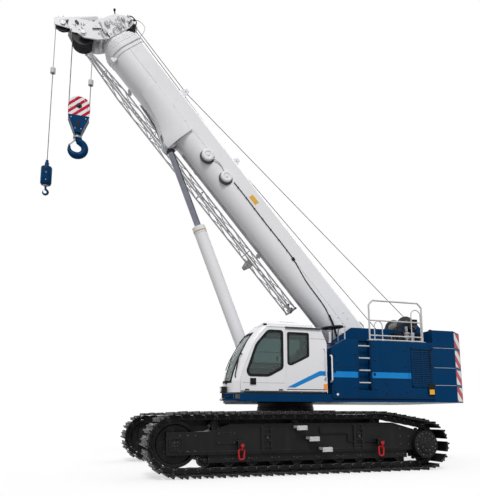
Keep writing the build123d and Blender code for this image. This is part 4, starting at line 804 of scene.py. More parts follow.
def louvres(made, x0, x1, z0, z1, y, out, pitch=0.05, paint=0, pillars=()):
    """Sloping slats in a frame, on a wall at y; out is +1 or -1."""
    rim = LOUVRE_RIM
    bars = [(x0, x1, z0, z0 + rim), (x0, x1, z1 - rim, z1), (x0, x0 + rim, z0, z1), (x1 - rim, x1, z0, z1)]
    for a, b, c, d in bars + [(x - 0.012, x + 0.012, z0, z1) for x in pillars]:
        made.box((a, y - out * 0.002, c), (b, y + out * 0.02, d), paint)
    for i in range(int((z1 - z0 - 2 * rim) / pitch)):
        z = z0 + rim + pitch * (i + 0.5)
        made.add([(x, y + out * a, z + b) for x in (x0 + rim, x1 - rim)
                  for a, b in ((0.001, 0.012), (0.016, -0.014), (0.018, -0.011), (0.003, 0.016))], FACES, paint)
    # a sheet behind the slats; on the housings it is black rubber, painted shade standing for the dark opening
    # behind them
    made.box((x0 + rim, y - out * 0.001, z0 + rim), (x1 - rim, y + out * 0.0008, z1 - rim), 3)


def seam_lines(made, lines, y, out, paint=3):
    """Dark gaps between panels as thin strips on a wall: (x0, z0, x1, z1)."""
    low, high = sorted((y, y + out * STRIPE))
    for x0, z0, x1, z1 in lines:
        made.box((min(x0, x1) - SEAM_HALF, low - 0.001, min(z0, z1) - SEAM_HALF),
                 (max(x0, x1) + SEAM_HALF, high, max(z0, z1) + SEAM_HALF), paint)


def housing_trim(out):
    """Panel gaps, doors, grilles, latches, hinges and the azure band of one housing."""
    y, left, face = out * SIDE_Y, out > 0, (0, out, 0)
    made = Shape()
    seams = [(x, 1.6, x, z) for x, z in ((-0.62, 2.7), (-1.27, 2.94), (-2.68, 2.94), (-3.38, 2.94))]
    seams += [(-0.62, 2.3, -1.27, 2.3), (-0.62, 1.6, -3.38, 1.6), (-2.1, 1.62, -2.1, 2.03),
              (-1.66, 2.03, -2.68, 2.03)]
    if left:
        seams.append((-1.66, 1.6, -1.66, 2.94))
    seam_lines(made, seams, y, out)
    for x0, x1 in ((-0.6, -1.28), (-1.65, -2.74)) if left else ((-0.6, -2.74),):
        made.box((x1, y, 2.06), (x0, y + out * STRIPE, 2.2), 2)
    louvres(made, -3.36, -2.76, 1.86, 2.82, y, out, 0.046, 0, (-3.06,))
    for x, z in ((-0.7, 2.42), (-1.2, 1.85), (-1.2, 2.62), (-1.75, 2.5), (-2.6, 1.75), (-2.6, 2.35), (-2.6, 2.75),
                 (-3.3, 1.72), (-1.75, 1.8)):
        made.knob([(0, 0.028), (0.006, 0.028), (0.01, 0.02)], (x, y, z), face, 18)
        made.box((x - 0.018, y, z - 0.006), (x + 0.018, y + out * 0.018, z + 0.006))
    for x, z in ((-0.66, 1.75), (-0.66, 2.2), (-0.66, 2.58), (-2.05, 1.7), (-2.05, 1.95), (-1.72, 2.85),
                 (-1.72, 2.15)):
        made.rod((x, y + out * 0.01, z - 0.035), (x, y + out * 0.01, z + 0.035), 0.011, 10)
        made.box((x - 0.03, y, z - 0.03), (x + 0.03, y + out * 0.006, z + 0.03))
    made.box((-0.6, y, 1.566), (-3.4, y + out * 0.03, 1.59))
    made.knob([(0, 0.03), (0.008, 0.03), (0.012, 0.022)], (-0.72, y, 1.66), face, 20, 5)
    if not left:
        for x0, x1, z1 in ((-2.45, -1.75, 1.98), (-1.2, -0.7, 2.0)):
            louvres(made, x0, x1, 1.68, z1, y, out, 0.046)
        for x in (-1.5, -2.4):
            made.box((x - 0.1, y - 0.02, 2.5), (x + 0.1, y + 0.002, 2.53), 4)
    return made


def housing_top(out):
    """Lids, tread lugs and bolts on a housing's roof."""
    made = Shape()
    for x0, x1 in ((-1.24, -1.9), (-1.96, -2.62), (-2.68, -3.0)):
        inner = 0.96 if x1 < -2.9 and out > 0 else 0.62
        y0, y1 = sorted((out * inner, out * 1.38))
        made.box((x1, y0, HOUSING_TOP - 0.002), (x0, y1, HOUSING_TOP + LID))
        for i in range(int((x0 - x1) / TREAD_PITCH)):
            for j in range(int((y1 - y0) / TREAD_PITCH)):
                turn = Matrix.Rotation(radians(45 if (i + j) % 2 else -45), 4, "Z")
                place = Matrix.Translation((x1 + (i + 0.5) * TREAD_PITCH, y0 + (j + 0.5) * TREAD_PITCH,
                                            HOUSING_TOP + LID))
                made.box((-0.013, -0.004, -0.001), (0.013, 0.004, 0.0022), 1, place @ turn)
    return made.bolts([(x, out * y, HOUSING_TOP + LID) for x in (-1.3, -1.84, -2.02, -2.56) for y in (0.66, 1.34)],
                      UP, 0.012, 1)


for side, out in SIDES:
    piece(f"housing_trim_{side}", "superstructure", housing_trim(out), (NAVY, DARK, AZURE, RUBBER, PLASTIC, LENS),
          "blue_paint", 0)
    piece(f"housing_lids_{side}", "superstructure", housing_top(out), (NAVY, DARK), "blue_paint", 0.002)

# ---- handrails and ladder -------------------------------------------------------------------
RAIL_Y = 1.455
for side, out in SIDES:
    loops = Shape()
    y = out * RAIL_Y
    for x0, x1, top in ((-1.8, -2.02, 3.47), (-2.86, -3.13, 3.8)):
        line = ((x0, 2.99), (x0, top - 0.08), (x0 - 0.08, top), (x1 + 0.08, top), (x1, top - 0.08), (x1, 2.99))
        loops.hose([(x, y, z) for x, z in line], 0.08, 0.013, 12, cuts=5)
        for x in (x0, x1):
            loops.lathe([(0, 0.017), (0, 0.034), (0.01, 0.034), (0.016, 0.02), (0.016, 0.017)], (x, y, 2.976), UP,
                        14)
    for x in (-1.66, -3.17):
        loops.box((x - 0.06, y - 0.045, 2.976), (x + 0.06, y + 0.045, 2.988))
        loops.bolts([(x + dx, y, 2.988) for dx in (-0.042, 0.042)], UP, 0.012, 1)
    if out > 0:
        line = ((-0.98, 0, 2.93), (-0.98, 0, 3.24), (-1.04, 0, 3.3), (-1.04, 0.4, 3.3), (-1.04, 0.46, 3.24),
                (-1.04, 0.46, 2.99))
        loops.hose([(x, y - inwards, z) for x, inwards, z in line], 0.05, 0.015, 12, cuts=5)
    piece(f"handrail_loops_{side}", "superstructure", loops, (GREY, STEEL), "grey_paint", 0)
    frame["nodes"][f"handrail_{side}"].data.materials[0] = GREY

RUNG_Y = SIDE_Y - 0.034
ladder = Shape()
for x in (-1.628, -1.302):
    ladder.box((x - 0.011, SIDE_Y - 0.055, 1.83), (x + 0.011, SIDE_Y - 0.012, 2.95))
    ladder.bolts([(x, SIDE_Y - 0.013, z) for z in (1.86, 2.92)], LEFT, 0.009)
for z in (1.945, 2.24, 2.535, 2.83):
    ladder.rod((-1.637, RUNG_Y, z), (-1.293, RUNG_Y, z), 0.019, 16, 1)
    for k in range(9):
        ladder.ring((-1.6 + k * 0.034, RUNG_Y, z), FRONT, 0.018, 0.0215, 0.012, 16, 1)
piece("recessed_ladder", "superstructure", ladder, (NAVY, GREY), "blue_paint", 0.002, instead_of="boarding_ladder")

# ---- counterweight --------------------------------------------------------------------------
SLABS = (1.487, 1.91, 2.35, 2.85, 3.304)
BACK = -4.527
weight = Shape()
lug = rounded([(-0.09, 0), (0.09, 0), (0.07, 0.07), (-0.07, 0.07)], 0.04)
for out in BOTH:
    front, rear = Vector((-4.07, out * SIDE_Y)), Vector((BACK, out * 1.15))
    run = (rear - front).normalized()
    normal = Vector((-abs(run.y), out * abs(run.x)))
    ends = [front + run * t for t in (0.03, (rear - front).length - 0.03)]
    for z0, z1 in zip(SLABS, SLABS[1:]):
        corners = [(p + normal * depth, z) for depth in (-0.001, 0.003)
                   for p, z in zip(ends + ends[::-1], (z0 + 0.03, z0 + 0.03, z1 - 0.045, z1 - 0.045))]
        weight.add([(p.x, p.y, z) for p, z in corners], FACES)
    for z in SLABS[1:-1]:
        weight.box((-4.06, out * 1.506, z - 0.005), (-3.43, out * 1.5118, z + 0.005), 6)
    weight.ring((-3.62, out * SIDE_Y, 3.08), (0, out, 0), 0.03, 0.06, 0.006, 24, 1)
    weight.prism([(a - 4.05, 3.303 + b) for a, b in lug], out * 0.9 - 0.02, out * 0.9 + 0.02, 1)
weight.bolts([(BACK - 0.001, y, 2.6) for y in (-0.8, -0.4, 0.4, 0.8)], (-1, 0, 0), 0.032, 1)
weight.box((-4.534, -0.42, 1.62), (-4.526, 0.42, 1.8), 1)
for y in (-0.95, 0.95):
    weight.box((-4.545, y - 0.12, 1.66), (-4.52, y + 0.12, 1.76), 2)
    for lamp_y, look in ((y - 0.06, 3), (y + 0.06, 4)):
        weight.box((-4.549, lamp_y - 0.05, 1.67), (-4.543, lamp_y + 0.05, 1.75), look)
# rubber strap with its box and plain plate
strap = [(-3.3, 1.512, 2.9), (-3.3, 1.535, 2.6), (-3.31, 1.535, 2.3)]
weight.tube(divided(strap[0], strap[1], 0.05) + divided(strap[1], strap[2], 0.05)[1:], 0.01, 8, 2)
for low, high, look in (((-3.4, 1.512, 1.66), (-3.2, 1.542, 1.93), 2),
                        ((-3.37, 1.54, 1.68), (-3.23, 1.5455, 1.8), 5),
                        ((-3.345, 1.512, 1.93), (-3.285, 1.518, 2.78), 2)):
    weight.box(low, high, look)
piece("counterweight_trim", "superstructure", weight, (BARS, NAVY, RUBBER, AMBER, LENS, YELLOW, GREY), "blue_paint",
      0.002)

lift_lugs = Shape()
for x, y in ((-3.6, 1.2), (-3.6, -1.2), (-4.2, 1.0), (-4.2, -1.0)):
    lift_lugs.tube([about((x, y, 3.3), LEFT, 0.06, pi * k / 12) for k in range(13)], 0.014, 10)
    lift_lugs.box((x - 0.09, y - 0.04, 3.303), (x + 0.09, y + 0.04, 3.309))
piece("counterweight_lifting_eyes", "superstructure", lift_lugs, (NAVY,), "blue_paint", 0)

# ---- silencer, engine, tank, winches --------------------------------------------------------
EXHAUST = (-3.13, 0.82, HOUSING_TOP)
silencer = Shape().knob(
    [(0.001, 0.11), (0.02, 0.11), (0.02, 0.088), (0.34, 0.088), (0.352, 0.075), (0.356, 0.045), (0.36, 0.045),
     (0.36, 0.042), (0.5, 0.042), (0.51, 0.034), (0.44, 0.034)], EXHAUST)
for k in range(5):
    silencer.lathe([(0.06 + k * 0.06 + rise, radius) for rise, radius in
                    ((-0.008, 0.086), (-0.006, 0.104), (0, 0.109), (0.006, 0.104), (0.008, 0.086))], EXHAUST)
silencer.lathe([(0.35, 0.044), (0.35, 0.052), (0.375, 0.052), (0.375, 0.044)], EXHAUST, UP, 24, 1)
silencer.bolt_circle((EXHAUST[0], EXHAUST[1], HOUSING_TOP + 0.02), UP, 0.1, 6, 0.009, 1)
piece("silencer_ribbed", "superstructure", silencer, (STEEL, DARK), "steel", 0, instead_of="exhaust_silencer")

engine = Shape()
engine.box((-3.32, -0.37, 1.565), (-2.58, 0.37, 2.3))
engine.box((-3.28, -0.26, 2.3), (-2.62, 0.26, 2.6))
engine.box((-3.25, -0.16, 2.6), (-2.66, 0.16, 2.73), 1)
for k in range(6):
    x = -3.2 + k * 0.115
    engine.box((x - 0.045, 0.26, 2.36), (x + 0.045, 0.32, 2.5), 2)
    engine.rod((x, 0.3, 2.43), (x, 0.36, 2.43), 0.03, 14, 2)
    engine.bolts([(x, y, 2.73) for y in (0.1, -0.1)], UP, 0.014, 2)
for start, end, radius, steps, look in (
        ((-3.22, 0.34, 2.43), (-2.6, 0.34, 2.43), 0.038, 16, 2),
        ((-2.95, -0.3, 2.5), (-2.68, -0.3, 2.5), 0.07, 20, 1),
        ((-3.2, -0.33, 1.8), (-3.2, -0.33, 2.1), 0.06, 20, 3),
        ((-2.95, -0.33, 1.8), (-2.95, -0.33, 2.1), 0.06, 20, 3)):
    engine.rod(start, end, radius, steps, look)
engine.hose([(-2.7, -0.3, 2.5), (-2.6, -0.34, 2.5), (-2.6, -0.34, 2.0), (-2.75, -0.3, 1.9)], 0.06, 0.035, 12, 3)
engine.hose([(-3.0, 0.34, 2.5), (-3.0, 0.34, 2.66), (-3.1, 0.2, 2.7), (-3.28, 0.2, 2.7)], 0.06, 0.03, 12, 2)
piece("engine_detail", "superstructure", engine, (DARK, PLASTIC, STEEL, RUBBER), "dark_grey_paint", 0.006,
      instead_of="engine_block")

tank = Shape()
for x in (0.0, 0.7):
    tank.box((x - 0.03, -1.514, 1.565), (x + 0.03, -1.506, 2.014), 1)
    tank.box((x - 0.03, -1.514, 2.006), (x + 0.03, -0.64, 2.014), 1)
tank.knob([(0, 0.07), (0.012, 0.07), (0.012, 0.055), (0.05, 0.055), (0.06, 0.045)], (0.4, -0.9, 2.01), UP, 24, 2)
tank.knob([(0, 0.05), (0.1, 0.05), (0.11, 0.04)], (0.4, -1.25, 2.01), UP, 24, 1)
tank.box((1.06, -1.513, 1.7), (1.1, -1.508, 1.92), 2)
tank.box((1.066, -1.5145, 1.71), (1.094, -1.512, 1.91), 3)
for x in (-0.3, -0.1, 0.1, 0.3):
    tank.hose([(x, -0.66, 1.8), (x, -0.56, 1.8), (x, -0.52, 1.72), (x, -0.5, 1.6)], 0.05, 0.018, paint=2)
seam_lines(tank, [(-0.4, 1.62, 1.1, 1.62)], -SIDE_Y, -1, 2)
piece("hydraulic_tank_fittings", "superstructure", tank, (NAVY, DARK, RUBBER, GLASS), "blue_paint", 0.002)

WINCHES = ((-3.5, 3.56), (-2.86, 3.16))
DRUM_HALF = 0.272
COIL_PITCH, COIL_R, LAYER = 0.021, 0.212, 0.018
COIL = ((-0.0104, -0.004), (-0.008, 0.0055), (-0.0035, 0.0098), (0.0035, 0.0098), (0.008, 0.0055), (0.0104, -0.004))
winch_rope, winch_frames, brakes = Shape(), Shape(), Shape()
for x, z in WINCHES:
    for layer in (0, 1):
        for k in range(int(2 * DRUM_HALF / COIL_PITCH) - layer):
            winch_rope.lathe([(along, COIL_R + LAYER * layer + rise) for along, rise in COIL],
                             (x, -DRUM_HALF + (k + 0.5 + layer * 0.5) * COIL_PITCH, z), LEFT)
    for out in BOTH:
        winch_frames.bolt_circle((x, out * 0.311, z), (0, out, 0), 0.17, 8, 0.016, 1)
        winch_frames.knob([(0, 0.11), (0.012, 0.11), (0.02, 0.09)], (x, out * 0.31, z), (0, out, 0), 28)
    winch_frames.rod((x, -0.49, z), (x, -0.56, z), 0.12, 28)
    winch_frames.rod((x, -0.56, z), (x, -0.66, z), 0.075, 24)
    winch_frames.bolt_circle((x, -0.56, z), (0, -1, 0), 0.1, 8, 0.01, 1)
    line = ((-0.64, -0.02), (-0.7, -0.08), (-0.66, -0.22))
    for dx in (-0.04, 0.04):
        winch_frames.hose([(x + dx, y, z + dz) for y, dz in line], 0.05, 0.018, paint=2)
    brakes.rod((x, 0.49, z), (x, 0.6, z), 0.13, 28)
    brakes.rod((x, 0.6, z), (x, 0.7, z), 0.085, 24)
    brakes.bolt_circle((x, 0.6, z), LEFT, 0.108, 8, 0.01, 1)
    brakes.box((x - 0.05, 0.62, z + 0.04), (x + 0.07, 0.74, z + 0.15), 2)
piece("winch_rope_coils", "superstructure", winch_rope, (ROPE,), "steel", 0, smooth_angle=60)
piece("winch_end_covers", "superstructure", winch_frames, (DARK, STEEL, RUBBER), "dark_grey_paint", 0.002)

# valve block and hoses between the winches and the left roof
brakes.box((-3.02, 0.62, 2.976), (-2.72, 0.88, 3.16))
for k in range(4):
    x = -2.98 + 0.075 * k
    brakes.rod((x, 0.7, 3.16), (x, 0.7, 3.24), 0.024, 14, 1)
    brakes.hose([(x, 0.8, 3.14), (x, 0.82, 3.32 + 0.03 * k), (-3.2 + 0.02 * k, 0.76, 3.5 + 0.03 * k),
                 (-3.46, 0.72, 3.6)], 0.09, 0.016, 10, 2)
brakes.hose([(-2.8, 0.9, 3.05), (-2.72, 1.0, 3.2), (-2.84, 1.05, 3.34), (-2.98, 0.95, 3.2), (-2.95, 0.9, 3.02)],
            0.07, 0.02, 10, 2)
brakes.box((-3.42, 0.72, 2.976), (-3.3, 1.1, 3.1))
brakes.rod((-3.36, 0.76, 3.1), (-3.36, 0.76, 3.34), 0.05, 18, 3)
brakes.rod((-3.36, 1.0, 3.1), (-3.36, 1.0, 3.3), 0.04, 18, 2)
piece("hoist_brakes_and_hoses", "superstructure", brakes, (DARK, STEEL, RUBBER, GREY), "dark_grey_paint", 0.003)

# ---- deck, webs and what stands on them -----------------------------------------------------
WEB_Y = 0.492
deck = Shape()
for out in BOTH:
    y, face = out * WEB_Y, (0, out, 0)
    for x in (-3.0, -2.4, -1.5, -0.9, 0.1):
        deck.box((x - 0.04, y, 1.6), (x + 0.04, y + out * 0.012, 2.2))
    for x in (-0.2, 0.25, 0.7):
        deck.ring((x, y, 1.75), face, 0.035, 0.055, 0.012, 20, 1)
    deck.bolt_circle((-2.15, out * 0.514, 2.95), face, 0.115, 8, 0.014, 1, 0.5)
    deck.disc((0.78, y, 1.98), face, 0.19, 0.01, 32)
deck.rod((-1.08, 0.462, 3.0), (-1.08, 0.462, 3.3), 0.028, 18, 2)
deck.ring((-1.08, 0.462, 3.02), UP, 0.028, 0.05, 0.02, 18, 2)
for y in (-0.2, -0.12, -0.04, 0.04, 0.12, 0.2):
    deck.hose([(-0.6, y, 1.575), (-0.5, y, 1.62), (0.2, y, 1.62), (0.5, y * 2, 1.62), (0.9, y * 2, 1.6)], 0.1, 0.016,
              paint=3)
for k in range(5):
    deck.box((-0.47 + k * 0.072, -0.24, 1.68), (-0.42 + k * 0.072, 0.24, 1.76), 1)
for low, high, look in (
        ((-0.5, -0.28, 1.562), (-0.1, 0.28, 1.68), 1), ((1.66, 1.13, 1.506), (2.01, 1.3, 1.516), 4),
        ((2.01, 1.1, 1.51), (2.02, 1.33, 1.56), 4), ((1.5, 1.505, 1.5), (1.66, 1.516, 1.556), 0),
        ((1.95, 1.16, 1.562), (1.99, 1.2, 1.69), 5), ((1.9, 1.12, 1.68), (2.02, 1.29, 1.82), 5)):
    deck.box(low, high, look)
deck.knob([(0, 0.05), (0.012, 0.06), (0.05, 0.06), (0.058, 0.045)], (1.86, 1.22, 1.56), UP, 24, 5)
deck.knob([(0, 0.052), (0.006, 0.056), (0.01, 0.04)], (2.021, 1.205, 1.75), FRONT, 24, 6)
piece("deck_fittings", "superstructure", deck, (NAVY, DARK, WHITE, RUBBER, GREY, BLACK, LENS), "blue_paint", 0.003)

mirror = Shape()
at = Matrix.Translation((-0.77, 1.22, 3.29)) @ Matrix.Rotation(radians(5), 4, "Y")
mirror.lathe([(-0.004, 0), (0.006, 0.1), (0.013, 0.18), (0.0145, 0.252), (0.0155, 0.262), (0.0155, 0.268),
              (-0.004, 0.268)], steps=48, at=at)
mirror.lathe([(0.014, 0), (0.014, 0.25), (0.015, 0.251), (0.0215, 0.16), (0.0255, 0.08), (0.027, 0)], steps=48,
             paint=1, at=at)
mirror.lathe([(0, 0.014), (0, 0.028), (0.05, 0.024), (0.05, 0.014)], (-0.77, 1.22, 2.9), UP, 16)
piece("mirror_face", "superstructure", mirror, (PLASTIC, SILVER), "mirror_plate", 0)


# ---- cab ------------------------------------------------------------------------------------
CAB_INNER = 0.62
CAB_SKIN = 1.47
CAB_MID = (CAB_INNER + CAB_SKIN) / 2
CAB_ROWS = (              # z, x of the side wall's front edge, bow of the front
    (1.69, 1.705, 0.21), (1.95, 1.7, 0.215), (2.15, 1.64, 0.225), (2.45, 1.545, 0.2), (2.79, 1.41, 0.13),
    (2.87, 1.37, 0.12), (3.05, 1.25, 0.095), (3.215, 1.095, 0.08),
)
DOOR_WINDOW = [(0.64, 3.105), (1.0, 3.105), (1.29, 2.77), (1.51, 2.16), (1.455, 2.055), (0.985, 2.055), (0.64, 2.24)]
REAR_WINDOW = [(0.515, 3.085), (-0.03, 3.085), (-0.03, 2.53), (0.43, 2.31), (0.515, 2.34)]
FAR_WINDOW = [(1.24, 2.76), (0.96, 3.085), (-0.2, 3.085), (-0.2, 2.4), (1.3, 2.4)]
DOOR_LINE = [(0.575, 1.725), (1.65, 1.725), (1.65, 1.96), (1.56, 2.26), (1.345, 2.8), (1.06, 3.165), (0.575, 3.165)]
STRIP_STEPS = 20
GASKET_OUT, GASKET_IN = 0.006, -0.012


def screen_x(y, z):
    """How far forward the bowed front stands at that width and height."""
    z = min(max(z, CAB_ROWS[0][0]), CAB_ROWS[-1][0])
    low, high = next(pair for pair in zip(CAB_ROWS, CAB_ROWS[1:]) if z <= pair[1][0])
    t = (z - low[0]) / (high[0] - low[0])
    side, bow = (a + (b - a) * t for a, b in zip(low[1:], high[1:]))
    across = (y - CAB_MID) / (CAB_MID - CAB_INNER)
    return side + bow * (1 - across * across)


def screen_strip(made, start, end, across):
    """Rubber that follows the bowed front from start to end, both (y, z), and is across wide."""
    verts, last = [], 4 * STRIP_STEPS
    for k in range(STRIP_STEPS + 1):
        y, z = (a + (b - a) * k / STRIP_STEPS for a, b in zip(start, end))
        verts += [(screen_x(y + dy, z + dz) + lift, y + dy, z + dz) for dy, dz in ((0, 0), across)
                  for lift in (GASKET_OUT, GASKET_IN)]
    faces = [(0, 2, 3, 1), (last, last + 1, last + 3, last + 2)]
    for a in range(0, last, 4):
        faces += [(a + i, a + j, a + m, a + n) for i, j, m, n in
                  ((0, 4, 6, 2), (1, 3, 7, 5), (0, 1, 5, 4), (2, 6, 7, 3))]
    made.add(verts, faces)


def gasket(made, outline, y0, y1, width):
    line = rounded(outline, 0.05, 5)
    made.ring_prism(grown(line, 0.004), grown(line, -width), y0, y1)


cab_trim = Shape()
gasket(cab_trim, REAR_WINDOW, 1.468, 1.4745, 0.045)
gasket(cab_trim, REAR_WINDOW, 1.4295, 1.44, 0.03)
gasket(cab_trim, FAR_WINDOW, CAB_INNER - 0.006, CAB_INNER + 0.004, 0.045)
turned = Matrix.Translation((-0.488, 0, 0)) @ Matrix.Rotation(radians(90), 4, "Z")
line = rounded([(0.77, 2.25), (1.32, 2.25), (1.32, 2.82), (0.77, 2.82)], 0.05, 5)
cab_trim.ring_prism(grown(line, 0.005), grown(line, -0.04), -0.006, 0.004, 0, turned)
(y0, z0), (y1, z1) = (CAB_INNER + 0.125, 1.9), (CAB_SKIN - 0.125, 3.06)
for start, end, across in (((y0, z0), (y0, z1), (0.035, 0)), ((y1, z0), (y1, z1), (-0.035, 0)),
                           ((y0, z0), (y1, z0), (0, 0.05)), ((y0, z1), (y1, z1), (0, -0.05))):
    screen_strip(cab_trim, start, end, across)
# wiper: arm, blade and motor against the screen, and a wire above them
for foot, lean, middle, stand, radius, heights in (
        (1.2, -0.3, 1.95, 0.03, 0.008, (1.93, 2.1, 2.3, 2.5, 2.66)),
        (1.02, 0.02, 2.4, 0.016, 0.009, (2.2, 2.4, 2.6, 2.8, 2.95)),
        (0.9, 0.0, 2.9, 0.014, 0.007, (2.86, 2.92, 2.98, 3.03))):
    cab_trim.tube([(screen_x(foot, z) + stand, foot + lean * (z - middle), z) for z in heights], radius, 8)
cab_trim.knob([(0, 0.035), (0.03, 0.03), (0.035, 0)], (screen_x(1.2, 1.91), 1.2, 1.91), FRONT, 16)
# gutters along the roof's edges
for y, y_mid, y_end in ((1.476, 1.43, 1.3), (0.615, 0.66, 0.8)):
    cab_trim.hose([(-0.33, y, 3.2), (1.0, y, 3.2), (1.12, y_mid, 3.19), (1.18, y_end, 3.2)], 0.06, 0.009, paint=1)
# grab handles at the rear corner, at the door's front and on the housing behind the cab
for path, bend, radius, look in (
        ([(-0.42, 1.47, 2.02), (-0.42, 1.545, 2.04), (-0.42, 1.545, 2.72), (-0.42, 1.47, 2.74)], 0.04, 0.014, 1),
        ([(1.69, 1.36, 2.0), (1.76, 1.42, 2.04), (1.66, 1.43, 2.52), (1.58, 1.38, 2.56)], 0.04, 0.012, 0),
        ([(-0.56, 1.505, 1.95), (-0.56, 1.58, 1.97), (-0.56, 1.58, 2.55), (-0.56, 1.505, 2.57)], 0.05, 0.019, 1)):
    cab_trim.hose(path, bend, radius, 12, look, cuts=5)
for z in (2.02, 2.74):
    cab_trim.disc((-0.42, 1.469, z), LEFT, 0.028, 0.008, 16, 1)
# azure stripe on the rear part of the side wall
stripe = [(0.528, 1.812), (-0.283, 2.199), (-0.481, 2.199), (-0.481, 2.09), (-0.301, 2.092), (0.339, 1.806)]
cab_trim.prism(stripe, 1.4695, 1.4715, 2)
# lamps on the roof's front, beacon, reflector, roof hatch, aerial, lower louvres and seams
for y in (0.78, 1.31):
    cab_trim.box((0.98, y - 0.07, 3.216), (1.06, y + 0.07, 3.28))
    cab_trim.box((1.06, y - 0.06, 3.225), (1.066, y + 0.06, 3.272), 3)
cab_trim.knob([(0, 0.045), (0.05, 0.045), (0.075, 0.03), (0.085, 0)], (-0.28, 0.74, 3.215), UP, 24, 4)
cab_trim.box((-0.475, 1.47, 1.77), (-0.385, 1.478, 1.9), 4)
cab_trim.box((0.15, 0.8, 3.345), (0.6, 1.22, 3.362))
for k in range(7):
    cab_trim.box((0.19 + k * 0.06, 0.83, 3.36), (0.22 + k * 0.06, 1.19, 3.372))
cab_trim.rod((-0.1, 1.3, 3.215), (-0.1, 1.3, 3.3), 0.009, 8)
for z in (1.8, 2.06):
    louvres(cab_trim, -0.38, -0.1, z - 0.04, z + 0.12, CAB_INNER, -1, 0.035, 1)
cab_trim.box((-0.44, 1.4685, 1.76), (0.53, 1.4745, 1.775))
cab_trim.box((-0.44, 1.4685, 2.95), (-0.06, 1.4715, 2.956))
piece("cab_trim", "superstructure", cab_trim, (RUBBER, WHITE, AZURE, LENS, AMBER), "black_plastic", 0.0015)

door_trim = Shape()
line = rounded(DOOR_WINDOW, 0.07, 6)
door_trim.ring_prism(grown(line, 0.014), grown(line, -0.045), 1.508, 1.516)
door_trim.ring_prism(grown(line, 0.003), grown(line, -0.035), 1.4765, 1.486)
for low, high in (((1.295, 1.508, 1.865), (1.43, 1.532, 2.005)), ((1.32, 1.53, 1.9), (1.4, 1.55, 1.935)),
                  ((1.33, 1.53, 1.96), (1.39, 1.542, 1.99)), ((0.65, 1.505, 1.735), (0.75, 1.514, 1.765)),
                  ((1.45, 1.505, 1.735), (1.55, 1.514, 1.765))):
    door_trim.box(low, high)
door_trim.box((0.6, 1.509, 1.9), (1.6, 1.5115, 1.905), 1)
# rails across the door's window, inside the glass
BAR_Y = 1.4835
for line, radius in ((((0.66, 2.6), (1.28, 2.6), (1.33, 2.66), (1.29, 2.74)), 0.0065),
                     (((0.66, 2.93), (1.12, 2.93)), 0.006)):
    door_trim.hose([(x, BAR_Y, z) for x, z in line], 0.05, radius, 10)
edge = rounded(DOOR_LINE, 0.03, 3)
door_trim.ring_prism(grown(edge, 0.001), grown(edge, -0.012), 1.4762, 1.4785)
piece("door_trim", "sliding_door", door_trim, (RUBBER, TRIM), "black_plastic", 0.0015)

rails = Shape()
for x0, x1, z0, z1, xs, bolt_z in ((-0.3, 0.56, 3.175, 3.183, (-0.25, 0.1, 0.45), 3.19),
                                   (-0.44, 1.55, 1.7, 1.706, (-0.35, 0.2, 0.75, 1.3), 1.7)):
    rails.box((x0, 1.502, z0), (x1, 1.508, z1))
    rails.bolts([(x, 1.5045, bolt_z) for x in xs], LEFT, 0.009, 1)
piece("door_rail_lips", "superstructure", rails, (TRIM, STEEL), "dark_grey_paint", 0)

# ---- seat, controls and lining --------------------------------------------------------------
SEAT = Vector((0.18, CAB_MID, 2.12))
CUSHION_CELLS = 14
PIPING_POINTS = 40


def cushion(name, size, at, crown, piping=True):
    """A puffed pad with round edges and sewn grooves; the grooves are crown deep."""
    made = Shape()
    (hx, hy, hz), n = size, CUSHION_CELLS
    verts, faces = [], []
    for side in BOTH:
        base = len(verts)
        for i in range(n + 1):
            for j in range(n + 1):
                u, v = i / n * 2 - 1, j / n * 2 - 1
                edge = (1 - u ** 8) * (1 - v ** 8)
                puff = 0.82 + 0.18 * (1 - u * u) * (1 - v * v)
                groove = 0.16 * exp(-((abs(v) - 0.55) / 0.05) ** 2) + 0.1 * exp(-(u / 0.05) ** 2)
                shrink = 1 - 0.06 * (1 - edge)
                z = max(hz * edge ** 0.5 * puff - crown * groove, 0.15 * hz)
                verts.append((u * hx * shrink, v * hy * shrink, side * z))
        for i in range(n):
            for j in range(n):
                a = base + i * (n + 1) + j
                faces.append((a, a + n + 1, a + n + 2, a + 1))
    rim = [(i, 0) for i in range(n)] + [(n, j) for j in range(n)]
    rim += [(i, n) for i in range(n, 0, -1)] + [(0, j) for j in range(n, 0, -1)]
    rim = [i * (n + 1) + j for i, j in rim]
    count = (n + 1) ** 2
    faces += [(a, b, count + b, count + a) for a, b in zip(rim, rim[1:] + rim[:1])]
    made.add(verts, faces, 0, at)
    if piping:
        ways = [(cos(t), sin(t), max(abs(cos(t)), abs(sin(t))) ** 0.9)
                for t in (2 * pi * k / PIPING_POINTS for k in range(PIPING_POINTS))]
        made.tube([(hx * 0.97 * c / most, hy * 0.97 * s / most, hz * 0.25) for c, s, most in ways], 0.006, 6, 1,
                  closed=True, at=at)
    obj = piece(name, "superstructure", made, (FABRIC, PLASTIC), "seat_fabric", 0, smooth_angle=75)


def by_seat(x, y, z):
    return SEAT + Vector((x, y, z))


